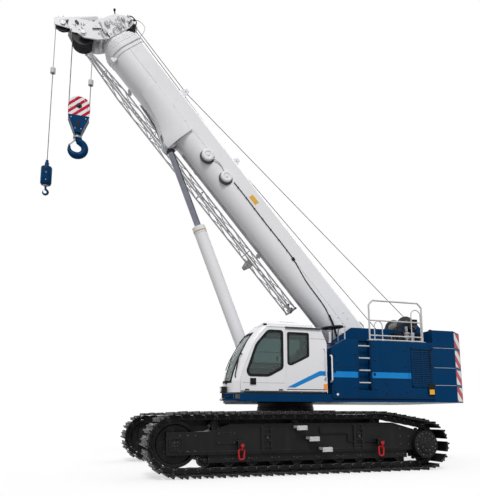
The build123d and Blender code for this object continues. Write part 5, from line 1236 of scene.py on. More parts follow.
leaning = Matrix.Rotation(-radians(81), 4, "Y")
cushion("seat_cushion", (0.25, 0.235, 0.058), Matrix.Translation(by_seat(0.015, 0, 0.05)), 0.03)
cushion("seat_back_cushion", (0.3, 0.225, 0.052), Matrix.Translation(by_seat(-0.215, 0, 0.36)) @ leaning, 0.03)
cushion("seat_headrest", (0.085, 0.125, 0.045), Matrix.Translation(by_seat(-0.272, 0, 0.72)) @ leaning, 0.01,
        piping=False)
pedestal = Shape()
boxes = [(-0.16, 0.16, 0.15, -0.389, -0.32, 0), (-0.2, 0.22, 0.19, -0.07, -0.002, 0)]
for z in (-0.32 + k * 0.042 for k in range(6)):
    boxes += [(-0.13, 0.13, 0.13, z, z + 0.026, 1), (-0.115, 0.115, 0.115, z + 0.02, z + 0.044, 1)]
for x0, x1, half, z0, z1, look in boxes:
    pedestal.box(by_seat(x0, -half, z0), by_seat(x1, half, z1), look)
for y in (-0.05, 0.05):
    pedestal.rod(by_seat(-0.262, y, 0.6), by_seat(-0.274, y, 0.7), 0.007, 10, 2)
pedestal.hose([by_seat(-0.16, 0.2, 0.02), by_seat(-0.24, 0.24, 0.02), by_seat(-0.24, 0.24, 0.15)], 0.03, 0.012)
piece("seat_pedestal", "superstructure", pedestal, (PLASTIC, RUBBER, STEEL), "seat_fabric", 0.004,
      instead_of="operator_seat")

controls = Shape()
for out in BOTH:
    y = out * 0.306
    controls.box(by_seat(0.02, y - 0.035, 0.23), by_seat(0.4, y + 0.035, 0.245), 1)
    controls.box(by_seat(-0.14, y - 0.04, 0.23), by_seat(-0.02, y + 0.04, 0.26), 2)
    controls.lathe([(0, 0.038), (0.012, 0.036), (0.03, 0.026), (0.05, 0.02), (0.07, 0.012), (0.07, 0), (0, 0)],
                   by_seat(0.3, y, 0.24), UP, 20, 2)
    controls.rod(by_seat(0.3, y, 0.3), by_seat(0.3, y, 0.38), 0.009, 10, 3)
    controls.knob([(0, 0.016), (0.02, 0.024), (0.07, 0.026), (0.1, 0.022), (0.11, 0.01)], by_seat(0.3, y, 0.36),
                  (0.1, 0, 1), 18)
    for k in range(4):
        controls.rod(by_seat(0.06 + k * 0.04, y, 0.244), by_seat(0.06 + k * 0.04, y, 0.256), 0.011)
for y in (CAB_MID - 0.14, CAB_MID - 0.05, CAB_MID + 0.05, CAB_MID + 0.14):
    controls.prism([(1.36, 1.86), (1.39, 1.85), (1.5, 1.99), (1.47, 2.0)], y - 0.033, y + 0.033, 2)
for x0, x1, y0, y1, z0, z1, look in ((1.49, 1.55, 0.16, 0.2, 2.14, 2.5, 0), (1.42, 1.46, 0.04, 0.32, 2.42, 2.62, 0),
                                     (1.416, 1.421, 0.055, 0.305, 2.435, 2.605, 4)):
    controls.box((x0, CAB_MID + y0, z0), (x1, CAB_MID + y1, z1), look)
piece("cab_controls", "superstructure", controls, (PLASTIC, TRIM, RUBBER, STEEL, GLASS), "black_plastic", 0.003)

inside = Shape()
for low, high, look in (
        ((-0.43, 0.68, 1.732), (1.5, 1.42, 1.74), 0), ((-0.44, 0.7, 1.74), (-0.36, 1.4, 2.1), 1),
        ((-0.28, 0.75, 3.12), (0.9, 1.35, 3.172), 1), ((0.5, 0.66, 1.74), (1.3, 0.675, 2.3), 1)):
    inside.box(low, high, look)
for k in range(16):
    inside.box((-0.3 + k * 0.11, 0.7, 1.74), (-0.27 + k * 0.11, 1.4, 1.744))
piece("cab_lining", "superstructure", inside, (RUBBER, TRIM), "black_plastic", 0.004)

# ---- boom -----------------------------------------------------------------------------------
BOOM_HALF = 0.4
TOP = 0.34
SEAM = -0.165             # where the flat side meets the round belly
WELD = -0.085             # weld line on the flat side
STEP = 0.038              # each section is this much smaller all round
COLLARS = [9.95 + 0.0703 * i for i in range(4)]     # where each section slides out of the one before
BELLY_STEPS = 24


def skin_outline(step, grow=0.0):
    """Boom section across: (y, n) points from the right seam over the top and round the belly."""
    half, top = BOOM_HALF - step + grow, TOP - step + grow
    cut = max(0.06 - step / 2, 0.012)
    points = [(-half, SEAM), (-half, top - cut), (-half + cut, top), (half - cut, top), (half, top - cut)]
    belly = (pi * k / BELLY_STEPS for k in range(BELLY_STEPS))
    return points + [(half * cos(a), SEAM - half * sin(a)) for a in belly]


def band(made, step, inner, outer, s0, s1, edge=0.006):
    """A raised band all round the boom between s0 and s1."""
    loops = [[(s, y, n) for y, n in skin_outline(step, grow)]
             for s, grow in ((s0, inner), (s0 + edge, outer), (s1 - edge, outer), (s1, inner))]
    count = len(loops[0])
    made.add(sum(loops, []), [(a + k, a + (k + 1) % count, a + count + (k + 1) % count, a + count + k)
                              for a in (0, count, 2 * count) for k in range(count)])


boom_trim = Shape()
for s0, s1, high in ((9.72, 9.8, 0.014), (9.83, 9.952, 0.024)):
    band(boom_trim, 0, -0.002, high, s0, s1)
for out in BOTH:
    y, face = out * BOOM_HALF, (0, out, 0)
    boom_trim.box((0.75, y - out * 0.002, WELD - 0.005), (9.7, y + out * 0.006, WELD + 0.005))
    boom_trim.bolts([(s, y, n) for s in (0.9, 1.1) for n in (0.1, -0.1)], face, 0.02)
    # domed covers, each on a dark ring set below its centre so that a dark crescent shows under the dome: painted
    # shadow
    for s, n, r in ((6.42, -0.24, 0.19), (5.71, -0.2, 0.18)):
        boom_trim.knob([(-0.004, r), (0.012, r), (0.016, r * 0.9)], (s, y, n), face, 40, 1)
        dome = (s + 0.02, y, n + 0.035)
        boom_trim.knob([(0.0, r * 0.86), (0.05, r * 0.84), (0.075, r * 0.74), (0.08, r * 0.5), (0.066, r * 0.42)],
                       dome, face, 40)
        boom_trim.knob([(0.064, r * 0.2), (0.082, r * 0.17)], dome, face, 24)
# cable from the deck up the belly, along the weld line and into the lower boss
CABLE_Y = 0.414
cable = [(0.72, 0.33, -0.44), (1.0, 0.385, -0.34), (1.55, CABLE_Y, -0.22), (2.35, CABLE_Y, -0.2),
         (2.95, CABLE_Y, -0.1)]
cable += [(s, CABLE_Y, WELD + 0.004 * sin(s * 4)) for s in (3.1 + 0.1 * k for k in range(25))]
boom_trim.hose(cable, 0.12, 0.012, paint=3, cuts=4)
boom_trim.hose(cable[:2] + [(1.3, CABLE_Y, -0.27)], 0.12, 0.024, 10, 3, 4)
for k in range(7):
    s = 3.3 + k * 0.34
    boom_trim.box((s - 0.012, 0.399, WELD - 0.018), (s + 0.012, 0.428, WELD + 0.018), 3)
# pipe between the bosses, and the lamp under the boom's end
boom_trim.hose([(s, 0.44, n) for s, n in ((5.86, -0.12), (6.0, -0.07), (6.2, -0.09), (6.3, -0.16))], 0.07, 0.014, 10)
boom_trim.disc((9.72, 0.23, -0.631), (0, 0, -1), 0.036, 0.012, 20, 5)
for low, high, look in (
        ((2.98, 0.399, -0.13), (3.06, 0.432, -0.06), 3),       # cable's end box
        ((4.72, 0.399, 0.0), (4.98, 0.403, 0.13), 6),          # plain plate
        ((9.66, 0.16, -0.63), (9.78, 0.3, -0.55), 0), ((9.69, 0.19, -0.57), (9.75, 0.27, -0.45), 0)):
    boom_trim.box(low, high, look)
# cleats and rope guides on the top
for s in (2.2, 3.4, 4.6):
    boom_trim.box((s - 0.03, -0.2, 0.338), (s + 0.03, 0.2, 0.352))
GUIDE = [(-0.145, 0.02), (-0.145, 0.055), (-0.13, 0.055), (-0.125, 0.033)]
for s, high in ((8.18, 0.6), (5.96, 0.53)):
    plate = [(s - 0.14, 0.338), (s + 0.14, 0.338), (s + 0.05, high + 0.04), (s - 0.05, high + 0.04)]
    for y in (-0.16, 0.16):
        boom_trim.prism(plate, y - 0.012, y + 0.012)
    boom_trim.rod((s, -0.18, high - 0.045), (s, 0.18, high - 0.045), 0.018, 16, 2)
    boom_trim.lathe(GUIDE + [(-along, r) for along, r in GUIDE[::-1]], (s, 0, high - 0.045), LEFT, 24, 3)
# grease lines on the belly
for y in (0.06, 0.0, -0.06):
    boom_trim.tube([(s, y, SEAM - BOOM_HALF - 0.008) for s in (1.2, 3.0, 5.0, 6.9)], 0.009, 8, 2)
piece("boom_trim", "boom", boom_trim, (WHITE, DARK, STEEL, RUBBER, PLASTIC, LENS, YELLOW), "white_paint", 0.002,
      at=BOOM)

for index, s in enumerate(COLLARS, 1):
    collar = Shape()
    step = index * STEP
    if index < 4:
        band(collar, step, STEP - 0.008, STEP, s + 0.018, s + 0.052, edge=0.004)
    collar.bolts([(s + 0.0695, -0.24 + k * 0.096, TOP - step + 0.012) for k in range(6)]
                 + [(s + 0.0695, out * (BOOM_HALF - step + 0.012), n) for out in BOTH for n in (0.2, 0.08, -0.04)],
                 FRONT, 0.008, 1)
    piece(f"collar_trim_{index + 1}", f"section_{index + 1}", collar, (WHITE, STEEL), "white_paint", 0, at=BOOM)

# ---- lift cylinder, in a frame with x from the boom's pin to the foot -----------------------
PIN = (7.28, -0.72)
pin_at = on_boom(PIN[0], 0, PIN[1])
way = Vector((0.78, 0, 1.98)) - pin_at
length = way.length
CYL = Matrix.Translation(pin_at) @ Vector(FRONT).rotation_difference(way).to_matrix().to_4x4()
GLAND = 2.236
barrel = Shape().lathe([(GLAND + along, r) for along, r in
                        ((-0.001, 0.088), (-0.012, 0.095), (-0.012, 0.14), (-0.001, 0.15), (0.02, 0.169),
                         (0.1, 0.1712), (0.112, 0.168), (0.112, 0.088))], axis=FRONT, steps=48)
barrel.bolt_circle((GLAND - 0.011, 0, 0), (-1, 0, 0), 0.122, 12, 0.011, 1)
for s in (GLAND + 0.16, GLAND + 3.2):
    barrel.lathe([(s - 0.02, 0.164), (s - 0.016, 0.17), (s + 0.016, 0.17), (s + 0.02, 0.164)], axis=FRONT, steps=48)
barrel.ring((GLAND + 0.114, 0, 0), FRONT, 0.164, 0.1725, 0.016, 48, 3)
for s in (0.45, 1.2, 2.0, 2.8):
    barrel.box((GLAND + s - 0.02, -0.2, -0.08), (GLAND + s + 0.02, -0.155, 0.08), 2)
for z in (0.05, -0.05):
    line = [(GLAND + s, -0.185) for s in (0.06, 0.3, 2.0)] + [(length - 1.0, -0.185), (length - 0.92, -0.155)]
    barrel.hose([(s, y, z) for s, y in line], 0.05, 0.013, 10, 2)
    barrel.rod((GLAND + 0.05, -0.16, z), (GLAND + 0.05, -0.2, z), 0.02, 12, 1)
piece("cylinder_gland_and_lines", "cylinder_barrel", barrel, (WHITE, STEEL, DARK, YELLOW), "white_paint", 0, at=CYL)
rod_trim = Shape().lathe([(0.12, 0.08), (0.12, 0.108), (0.14, 0.112), (0.17, 0.112), (0.19, 0.092), (0.19, 0.08)],
                         axis=FRONT, steps=40)
pin_trim = Shape()
for out in BOTH:
    face = (0, out, 0)
    rod_trim.ring((0, out * 0.1, 0), face, 0.075, 0.11, 0.004, 36, 1)
    pin_trim.knob([(0, 0.1), (0.012, 0.1), (0.02, 0.085)], (PIN[0], out * 0.19, PIN[1]), face)
    pin_trim.bolt_circle((PIN[0], out * 0.21, PIN[1]), face, 0.055, 3, 0.013, 1)
piece("rod_eye_trim", "cylinder_rod", rod_trim, (DARK, STEEL), "chrome", 0, at=CYL)
piece("lift_pin_caps", "boom", pin_trim, (WHITE, STEEL), "white_paint", 0, at=BOOM)

# bulged plates that close the lift cylinder's bracket on both sides
SKIRT = (
    # s, control point (y, n), lower edge (y, n)
    (7.19, (0.455, -0.55), (0.2, -0.85)), (7.33, (0.455, -0.55), (0.2, -0.862)), (7.46, (0.46, -0.52), (0.2, -0.79)),
    (7.65, (0.46, -0.5), (0.21, -0.71)), (7.9, (0.465, -0.46), (0.225, -0.63)), (8.3, (0.47, -0.4), (0.245, -0.57)),
    (8.66, (0.475, -0.38), (0.262, -0.535)),
)
SKIRT_TOP = (0.449, -0.13)
ACROSS = 12
row, rows = ACROSS + 1, len(SKIRT)
layer = row * rows
rim = [*range(row), *range(row + ACROSS, layer, row), *range(layer - 2, layer - row - 1, -1),
       *range(layer - 2 * row, 0, -row)]
plates = [(p, p + 1, p + row + 1, p + row) for a in range(rows - 1) for p in range(a * row, a * row + ACROSS)]
plates += [tuple(layer + p for p in face) for face in plates]
plates += [(a, b, b + layer, a + layer) for a, b in zip(rim, rim[1:] + rim[:1])]
skirts = Shape()
for out in BOTH:
    verts = []
    for shrink in (1.0, 0.975):
        for s, mid, low in SKIRT:
            for t in (k / ACROSS for k in range(row)):
                y, n = [(1 - t) ** 2 * a + 2 * t * (1 - t) * b + t * t * c for a, b, c in zip(SKIRT_TOP, mid, low)]
                verts.append((s, out * y * shrink, SEAM + (n - SEAM) * shrink))
    skirts.add(verts, plates)
    skirts.bolts([(s, out * 0.45, -0.13) for s, _, _ in SKIRT[::2]], (0, out, 0), 0.01, 1)
piece("bracket_skirts", "boom", skirts, (WHITE, STEEL), "white_paint", 0, at=BOOM, smooth_angle=50)

# ---- boom head ------------------------------------------------------------------------------
MAIN_S, MAIN_N = 10.65, -0.775
TOP_S, TOP_N = 10.38, 0.44
AUX_S, AUX_N = 11.2, -0.955


def by_main(a, b):
    """A point by the main sheaves: a along the plates' front edge, b across it."""
    return MAIN_S + 0.643 * a + 0.766 * b, MAIN_N - 0.766 * a + 0.643 * b


def pad(made, s, n, wide, high, y, out, deep, paint):
    """A block that stands out from a plate."""
    made.box((s - wide, y, n - high), (s + wide, y + out * deep, n + high), paint)


head = Shape()
for out in BOTH:
    y, face = out * 0.3, (0, out, 0)
    for s, n, r in ((MAIN_S, MAIN_N, 0.085), (TOP_S, TOP_N, 0.075)):
        head.ring((s, y - out * 0.002, n), face, 0.046, r, 0.014, 28)
        head.disc((s, y + out * 0.028, n), face, 0.055, 0.01, 28, 1)
        head.box((s + 0.02, y, n + 0.04), (s + 0.14, y + out * 0.03, n + 0.07), 1)
    for s, n in ((10.3, -0.2), (10.3, 0.0), (10.3, 0.2), (10.55, -0.05), (10.55, 0.15), (10.65, -0.25),
                 (10.45, -0.45)):
        head.lathe([(-0.001, 0.018), (0.008, 0.02), (0.008, 0.036), (-0.001, 0.038)], (s, y, n), face, 20)
        head.hex_bolt((s, y + out * 0.001, n), face, 0.014, 1)
    for s, n0, n1 in ((10.66, -0.395, -0.375), (10.62, 0.27, 0.285)):
        head.box((10.26, y - out * 0.002, n0), (s, y + out * 0.012, n1))
    # plates over the front of the main sheaves, between the side plates and the nose
    y = out * 0.214
    head.prism([by_main(a, b) for a, b in ((-0.26, 0.0), (0.27, 0.02), (0.37, 0.2), (0.33, 0.42), (-0.22, 0.42))],
               out * 0.2, y)
    for a, b in ((-0.12, 0.1), (0.1, 0.12), (0.24, 0.24), (0.0, 0.3)):
        s, n = by_main(a, b)
        head.hex_bolt((s, y, n), face, 0.016, 1)
    for a, b, wide in ((-0.05, 0.2, 0.06), (0.16, 0.3, 0.045)):
        pad(head, *by_main(a, b), wide, wide * 0.6, y, out, 0.036, 2)
    # pipes, valves and boxes on the head's side plates
    y = out * 0.312
    for s, n, wide in ((10.34, 0.1, 0.05), (10.48, 0.32, 0.045), (10.56, -0.12, 0.06), (10.4, -0.3, 0.055)):
        pad(head, s, n, wide, wide * 0.7, y, out, 0.05, 6)
        head.hex_bolt((s, y + out * 0.05, n), face, 0.014, 1)
    for line, off, bend, radius, look in (
            (((10.24, 0.22), (10.42, 0.18), (10.5, 0.02), (10.62, 0.0)), 0.33, 0.05, 0.011, 6),
            (((10.24, -0.1), (10.36, -0.12), (10.42, 0.24), (10.6, 0.22)), 0.33, 0.05, 0.011, 6),
            (((10.3, -0.42), (10.46, -0.4), (10.52, -0.28), (10.7, -0.26)), 0.33, 0.05, 0.011, 6),
            (((10.24, -0.28), (10.5, -0.3), (10.62, -0.52)), 0.32, 0.06, 0.012, 3)):
        head.hose([(s, out * off, n) for s, n in line], bend, radius, paint=look)
# antenna post, the thin hose that arches over the head's rear, and hose loops on top
head.rod((10.66, 0.28, 0.22), (10.79, 0.28, 0.3), 0.016, 12, 3)
head.rod((10.79, 0.28, 0.3), (10.82, 0.28, 0.325), 0.03, 14, 3)
head.hose([(10.5, 0.1, 0.56), (10.4, 0.12, 0.78), (10.12, 0.14, 0.8), (9.98, 0.16, 0.55), (9.99, 0.16, 0.34)],
          0.12, 0.009, paint=6)
for k, y in enumerate((-0.22, -0.14, 0.14, 0.22)):
    high = 0.5 + 0.05 * k
    line = ((10.16, 0.2), (10.2, 0.4), (10.3, high), (10.52, high - 0.02), (10.6, 0.3), (10.56, 0.1))
    head.hose([(s, y, n) for s, n in line], 0.09, 0.014, paint=3)
head.hose([(10.26, 0.29, 0.33), (10.3, 0.36, 0.36), (10.36, 0.36, 0.48), (10.36, 0.28, 0.53)], 0.05, 0.009, paint=3)
# rope guards round the sheaves
for s, n, r, half, start, end in ((MAIN_S, MAIN_N, 0.286, 0.27, -0.6, 1.6), (TOP_S, TOP_N, 0.212, 0.18, 0.3, 2.4)):
    for k in range(5):
        s1, _, n1 = about((s, 0, n), LEFT, r, start + (end - start) * k / 4)
        head.drum(s1, n1, 0.011, -half, half, 10, 1)
# beacon, valve and lamp
head.rod((10.36, 0.26, 0.52), (10.36, 0.26, 0.6), 0.03, 16, 4)
head.knob([(0, 0.05), (0.03, 0.055), (0.06, 0.05), (0.075, 0)], (10.36, -0.26, 0.5), UP, 20, 4)
head.box((10.44, -0.06, 0.0), (10.52, 0.06, 0.1), 4)
head.box((10.3, 0.15, -0.56), (10.44, 0.27, -0.5), 1)
head.disc((10.37, 0.21, -0.561), (0, 0, -1), 0.045, 0.01, 20, 5)
# hubs and rims of the rope wheels
for s, n, radius, ys in ((MAIN_S, MAIN_N, 0.262, (-0.15, -0.05, 0.05, 0.15)), (TOP_S, TOP_N, 0.19, (-0.06, 0.06)),
                         (AUX_S, AUX_N, 0.18, (0,))):
    for place, face in (((s, y, n), (0, out, 0)) for y in ys for out in BOTH):
        head.lathe([(0.0305, 0.05), (0.0305, 0.085), (0.0335, 0.085), (0.0345, 0.05)], place, face, 28, 2)
        head.lathe([(0.0305, radius - 0.035), (0.0305, radius - 0.006), (0.0335, radius - 0.008),
                    (0.0335, radius - 0.033)], place, face, 40, 2)
piece("boom_head_fittings", "section_5", head, (WHITE, STEEL, DARK, RUBBER, PLASTIC, LENS, GREY), "white_paint", 0,
      at=BOOM)

nose = Shape()
for out in BOTH:
    y, face = out * 0.095, (0, out, 0)
    nose.disc((AUX_S, y + out * 0.018, AUX_N), face, 0.06, 0.012, 24, 1)
    line = ((10.84, -0.2), (10.84, -0.33), (10.98, -0.35), (11.0, -0.55), (11.05, -0.75))
    nose.bolts([(s, y, n) for s, n in line], face, 0.014, 1)
    nose.prism([(10.8, -0.1), (10.96, -0.12), (11.3, -0.98), (11.24, -0.98)], y - out * 0.001, y + out * 0.006)
    # blocks and a hose along the nose
    y = out * 0.108
    for k in range(5):
        pad(nose, 10.86 + 0.075 * k, -0.28 - 0.14 * k, 0.03, 0.03, y, out, 0.03, 0 if k % 2 else 2)
    nose.hose([(s, y, n) for s, n in ((10.78, -0.3), (10.9, -0.46), (11.02, -0.62), (11.1, -0.84))], 0.05, 0.009,
              paint=2)
for k in range(4):
    s, _, n = about((AUX_S, 0, AUX_N), LEFT, 0.2, -0.5 + 0.6 * k)
    nose.drum(s, n, 0.009, -0.09, 0.09, 10, 1)
nose.tube([(10.72, 0.07, 0.02), (10.96, 0.07, -0.36), (11.33, 0.07, -0.93)], 0.006, 8, 1)
piece("rooster_nose_fittings", "section_5", nose, (GREY, STEEL, DARK), "white_paint", 0, at=BOOM)

# ---- swing-away jib -------------------------------------------------------------------------
JIB_START, JIB_TAPER, JIB_END = 1.9, 9.3, 10.7
JIB_Y, JIB_N = (-0.56, -0.84), (-0.66, -0.47)
JIB_MID = (sum(JIB_Y) / 2, sum(JIB_N) / 2)
PANELS = 13
HINGE_S = 3.65


def jib_corners(s):
    """The four chords at s; the lattice narrows from its taper to its end."""
    close = 1 - max(0.0, (s - JIB_TAPER) / (JIB_END - JIB_TAPER)) * 0.55
    half_y, half_n = (JIB_Y[0] - JIB_MID[0]) * close, (JIB_N[1] - JIB_MID[1]) * close
    return [Vector((s, JIB_MID[0] + a * half_y, JIB_MID[1] + b * half_n))
            for a, b in ((1, 1), (-1, 1), (-1, -1), (1, -1))]


jib = Shape()
stations = [JIB_START + (JIB_TAPER - JIB_START) * i / (PANELS - 2) for i in range(PANELS - 1)]
corners = [jib_corners(s) for s in stations + [(JIB_TAPER + JIB_END) / 2, JIB_END]]
for k in range(4):
    beside = (k + 1) % 4
    jib.tube([corners[0][k], corners[-3][k], corners[-1][k]], 0.022, 14, 2)
    for i, (here, there) in enumerate(zip(corners, corners[1:])):
        near, far = (beside, k) if i % 2 else (k, beside)
        jib.rod(here[near], there[far], 0.01, 10)
        if i % 3 == 0:
            jib.rod(here[k], here[beside], 0.011, 10)
for s, line in ((JIB_START, corners[0]), (JIB_END, corners[-1])):
    jib.box((s - 0.02, line[2].y - 0.03, line[2].z - 0.03), (s + 0.02, line[0].y + 0.03, line[0].z + 0.03))
    for point in line:
        jib.knob([(-0.03, 0.03), (0.03, 0.03)], point, LEFT, 16, 1)
for s in (1.96, 2.1):
    jib.drum(s, JIB_MID[1], 0.035, JIB_Y[1] - 0.01, JIB_Y[0] + 0.01, 20, 1)
# hinge head and pins where the jib is carried by its lower bracket
jib.box((HINGE_S - 0.1, JIB_Y[1] - 0.03, JIB_N[0] - 0.035), (HINGE_S + 0.1, JIB_Y[0] + 0.03, JIB_N[0] - 0.02))
hinge = [(HINGE_S + ds, JIB_N[0] - dn) for ds, dn in ((-0.1, 0.03), (0.1, 0.03), (0.04, 0.2), (-0.06, 0.2))]
for y in (JIB_Y[1], JIB_MID[0], JIB_Y[0]):
    jib.prism(hinge, y - 0.014, y + 0.014)
jib.drum(HINGE_S - 0.01, JIB_N[0] - 0.16, 0.03, JIB_Y[1] - 0.03, JIB_Y[0] + 0.03, 18, 1)
piece("jib_lattice", "boom", jib, (GREY, STEEL, WHITE), "white_paint", 0, at=BOOM, instead_of="lattice_jib")

arms = Shape()
for s in (HINGE_S, 9.15):
    arms.bolts([(s + ds, -0.4143, n) for ds in (-0.04, 0.04) for n in (0.1, -0.05, -0.3)], (0, -1, 0), 0.012, 1)
    arms.rod((s - 0.07, -0.5, -0.42), (s + 0.07, -0.5, -0.42), 0.02, 14, 1)
    arms.prism([(s - 0.05, -0.45), (s + 0.05, -0.45), (s + 0.03, -0.2), (s - 0.03, -0.2)], -0.43, -0.416)
piece("jib_bracket_fittings", "boom", arms, (WHITE, STEEL), "white_paint", 0.002, at=BOOM)


# ---- ropes ----------------------------------------------------------------------------------
ROPE_R = 0.0088
LAY = 25.0                # how far the strands turn along a metre, in radians
LAY_STEP = 0.02
HANG = -49.5              # angle on a wheel, in degrees, where a rope hangs from its front
MAIN_AT = on_boom(MAIN_S, 0, MAIN_N)
AUX_AT = on_boom(AUX_S, 0, AUX_N)
MAIN_REACH, TOP_REACH, AUX_REACH = 0.245, 0.173, 0.163
MAIN_Y = 0.05             # grooves of the main line lie this far to either side
WHIP_X = AUX_AT.x + AUX_REACH
WHIP_END = 7.19
BLOCK_PIN = 8.65


def rope(made, path):
    """A laid rope along points, cut to short steps so that its strands turn."""
    fine = [Vector(path[0])]
    for a, b in zip(path, path[1:]):
        fine += divided(a, b, LAY_STEP)[1:]
    return made.tube(fine, ROPE_R, 18, lobes=6, twist=LAY)


def arc(centre, radius, start, end, y, count=16):
    """Points on a circle in the plane of s and n, angles in degrees."""
    angles = [radians(start + (end - start) * k / count) for k in range(count + 1)]
    return [Vector((centre[0] + radius * cos(a), y, centre[1] + radius * sin(a))) for a in angles]


def rope_piece(name, shape, body, at=None, blend=None, instead_of=None):
    if blend:
        blend = (blend[0], row_point(blend[1]), row_point(blend[2]))
    piece(name, body, shape, (ROPE,), "steel", 0, at=at, smooth_angle=80, blend=blend, instead_of=instead_of)


LINES = (
    # name, point on the drum (x, z), guide (s, n), y on the boom, last wheel (s, n), reach, angle and y on it
    ("main", (-3.68, 3.75), (8.18, 0.6), 0.06, (MAIN_S, MAIN_N), MAIN_REACH, 15.8, MAIN_Y),
    ("whip", (-3.03, 3.33), (5.96, 0.53), -0.06, (AUX_S, AUX_N), AUX_REACH, 30.1, 0.0),
)
SPLITS = (9.9, 9.99, 10.06, 10.13, 10.2)
RIDERS = ["boom"] + [f"section_{k}" for k in range(2, 6)]
BEND_REACH = 0.5          # half the span, beside the boom's pivot, between the two points given with the rope's blend
for name, drum, guide, side_y, wheel, reach, leave, last_y in LINES:
    start = Vector((drum[0], side_y * 2.5, drum[1]))
    end = on_boom(guide[0], side_y, guide[1])
    way = (end - start).normalized()
    bend = start + way * way.dot(on_boom(0, 0, 0) - start)
    rope_piece(f"{name}_rope_to_guide", rope(Shape(), [start, end]), "superstructure",
               blend=("boom", bend - way * BEND_REACH, bend + way * BEND_REACH))
    first = Vector((guide[0], side_y, guide[1]))
    top = Vector((TOP_S, side_y, TOP_N + TOP_REACH))
    splits = [first.lerp(top, (s - first.x) / (top.x - first.x)) for s in SPLITS]
    rope_piece(f"{name}_rope_on_boom", rope(Shape(), [first, splits[0]]), "boom", at=BOOM)
    for k, (a, b) in enumerate(zip(splits, splits[1:])):
        rope_piece(f"{name}_rope_past_collar_{k + 1}", rope(Shape(), [a, b]), RIDERS[k], at=BOOM,
                   blend=(RIDERS[k + 1], BOOM @ a, BOOM @ b))
    path = [splits[-1]] + arc((TOP_S, TOP_N), TOP_REACH, 90, leave, side_y) + arc(wheel, reach, leave, HANG, last_y)
    rope_piece(f"{name}_rope_over_head", rope(Shape(), path), "section_5", at=BOOM)

wraps, falls, under = Shape(), Shape(), Shape()
for y, end, count in ((-MAIN_Y, HANG, 20), (MAIN_Y, 40, 12)):
    rope(wraps, arc((MAIN_S, MAIN_N), MAIN_REACH, HANG + 180, end, y, count))
    rope(under, arc((MAIN_AT.x, BLOCK_PIN), MAIN_REACH, 180, 360, y, 20))
    for x in (MAIN_AT.x + MAIN_REACH, MAIN_AT.x - MAIN_REACH):
        rope(falls, [(x, y, BLOCK_PIN), (x, y, MAIN_AT.z)])
rope_piece("main_rope_on_sheaves", wraps, "section_5", at=BOOM)
LEAD = [(0.09, 0.014), (0.09, 0.035), (0.075, 0.035), (0.075, 0.024)]
lead = Shape().lathe([(-along, r) for along, r in LEAD] + LEAD[::-1], (10.722, 0.055, -0.13), (0.34, 0, -1.195), 20)
piece("rope_fairlead", "section_5", lead, (STEEL,), "steel", 0, at=BOOM)
rope_piece("main_falls", falls, "main_line", blend=("hoist_block", MAIN_AT, (MAIN_AT.x, 0, BLOCK_PIN)),
           instead_of="main_rope_falls")
rope_piece("main_rope_under_block", under, "hoist_block")
whip = [(WHIP_X, 0, AUX_AT.z), (WHIP_X, 0, WHIP_END)]
rope_piece("whip_rope", rope(Shape(), whip), "whip_line", blend=("whip_weight", *whip))

# ---- hook block -----------------------------------------------------------------------------
X = MAIN_AT.x
CROWN = [(0.252, 8.4), (0.252, 8.66), (0.235, 8.75), (0.19, 8.83), (0.13, 8.88), (0.06, 8.9)]
upper = [(X + x, z) for x, z in CROWN] + [(X - x, z) for x, z in CROWN[::-1]]
lower = [(X - 0.08, 7.96), (X + 0.08, 7.96), (X + 0.252, 8.402), (X - 0.252, 8.402)]
hole_shade, lip = ([(X + a * cos(t), 8.17 + b * sin(t)) for t in (2 * pi * k / 24 for k in range(24))]
             for a, b in ((0.035, 0.1), (0.04375, 0.11)))
cheeks = Shape()
for out in BOTH:
    face = (0, out, 0)
    for look, outline in enumerate((upper, lower)):
        cheeks.prism(outline, out * 0.105, out * 0.15, look)
    # the black oval inside the lip is painted shade: it stands for a hole through the cheek, which is solid here
    cheeks.prism(hole_shade, out * 0.1495, out * 0.1515, 2)
    cheeks.ring_prism(lip, hole_shade, out * 0.149, out * 0.155, 1)
    cheeks.knob([(0, 0.062), (0.012, 0.062), (0.02, 0.05), (0.02, 0.03), (0.034, 0.025)], (X, out * 0.15, BLOCK_PIN),
                face, 32, 2)
    cheeks.bolt_circle((X, out * 0.168, BLOCK_PIN), face, 0.042, 6, 0.006, 3)
    cheeks.bolts([(X + side * x, out * 0.15, z) for x, z in ((0.12, 8.8), (0.2, 8.6), (0.07, 8.05), (0.17, 8.33))
                  for side in BOTH], face, 0.015, 3)
    cheeks.drum(X + out * 0.232, 8.44, 0.014, -0.106, 0.106, 14, 3)
cheeks.prism([(X - 0.075, 7.95), (X + 0.075, 7.95), (X + 0.235, 8.37), (X - 0.235, 8.37)], -0.106, 0.106, 1)
cheeks.knob([(0, 0.085), (0.05, 0.085), (0.058, 0.075)], (X, 0, 7.948), UP, 28, 3)
piece("hook_block_cheeks", "hoist_block", cheeks, (BLOCK_BARS, NAVY, RUBBER, STEEL), "blue_paint", 0.006,
      instead_of="hook_block")

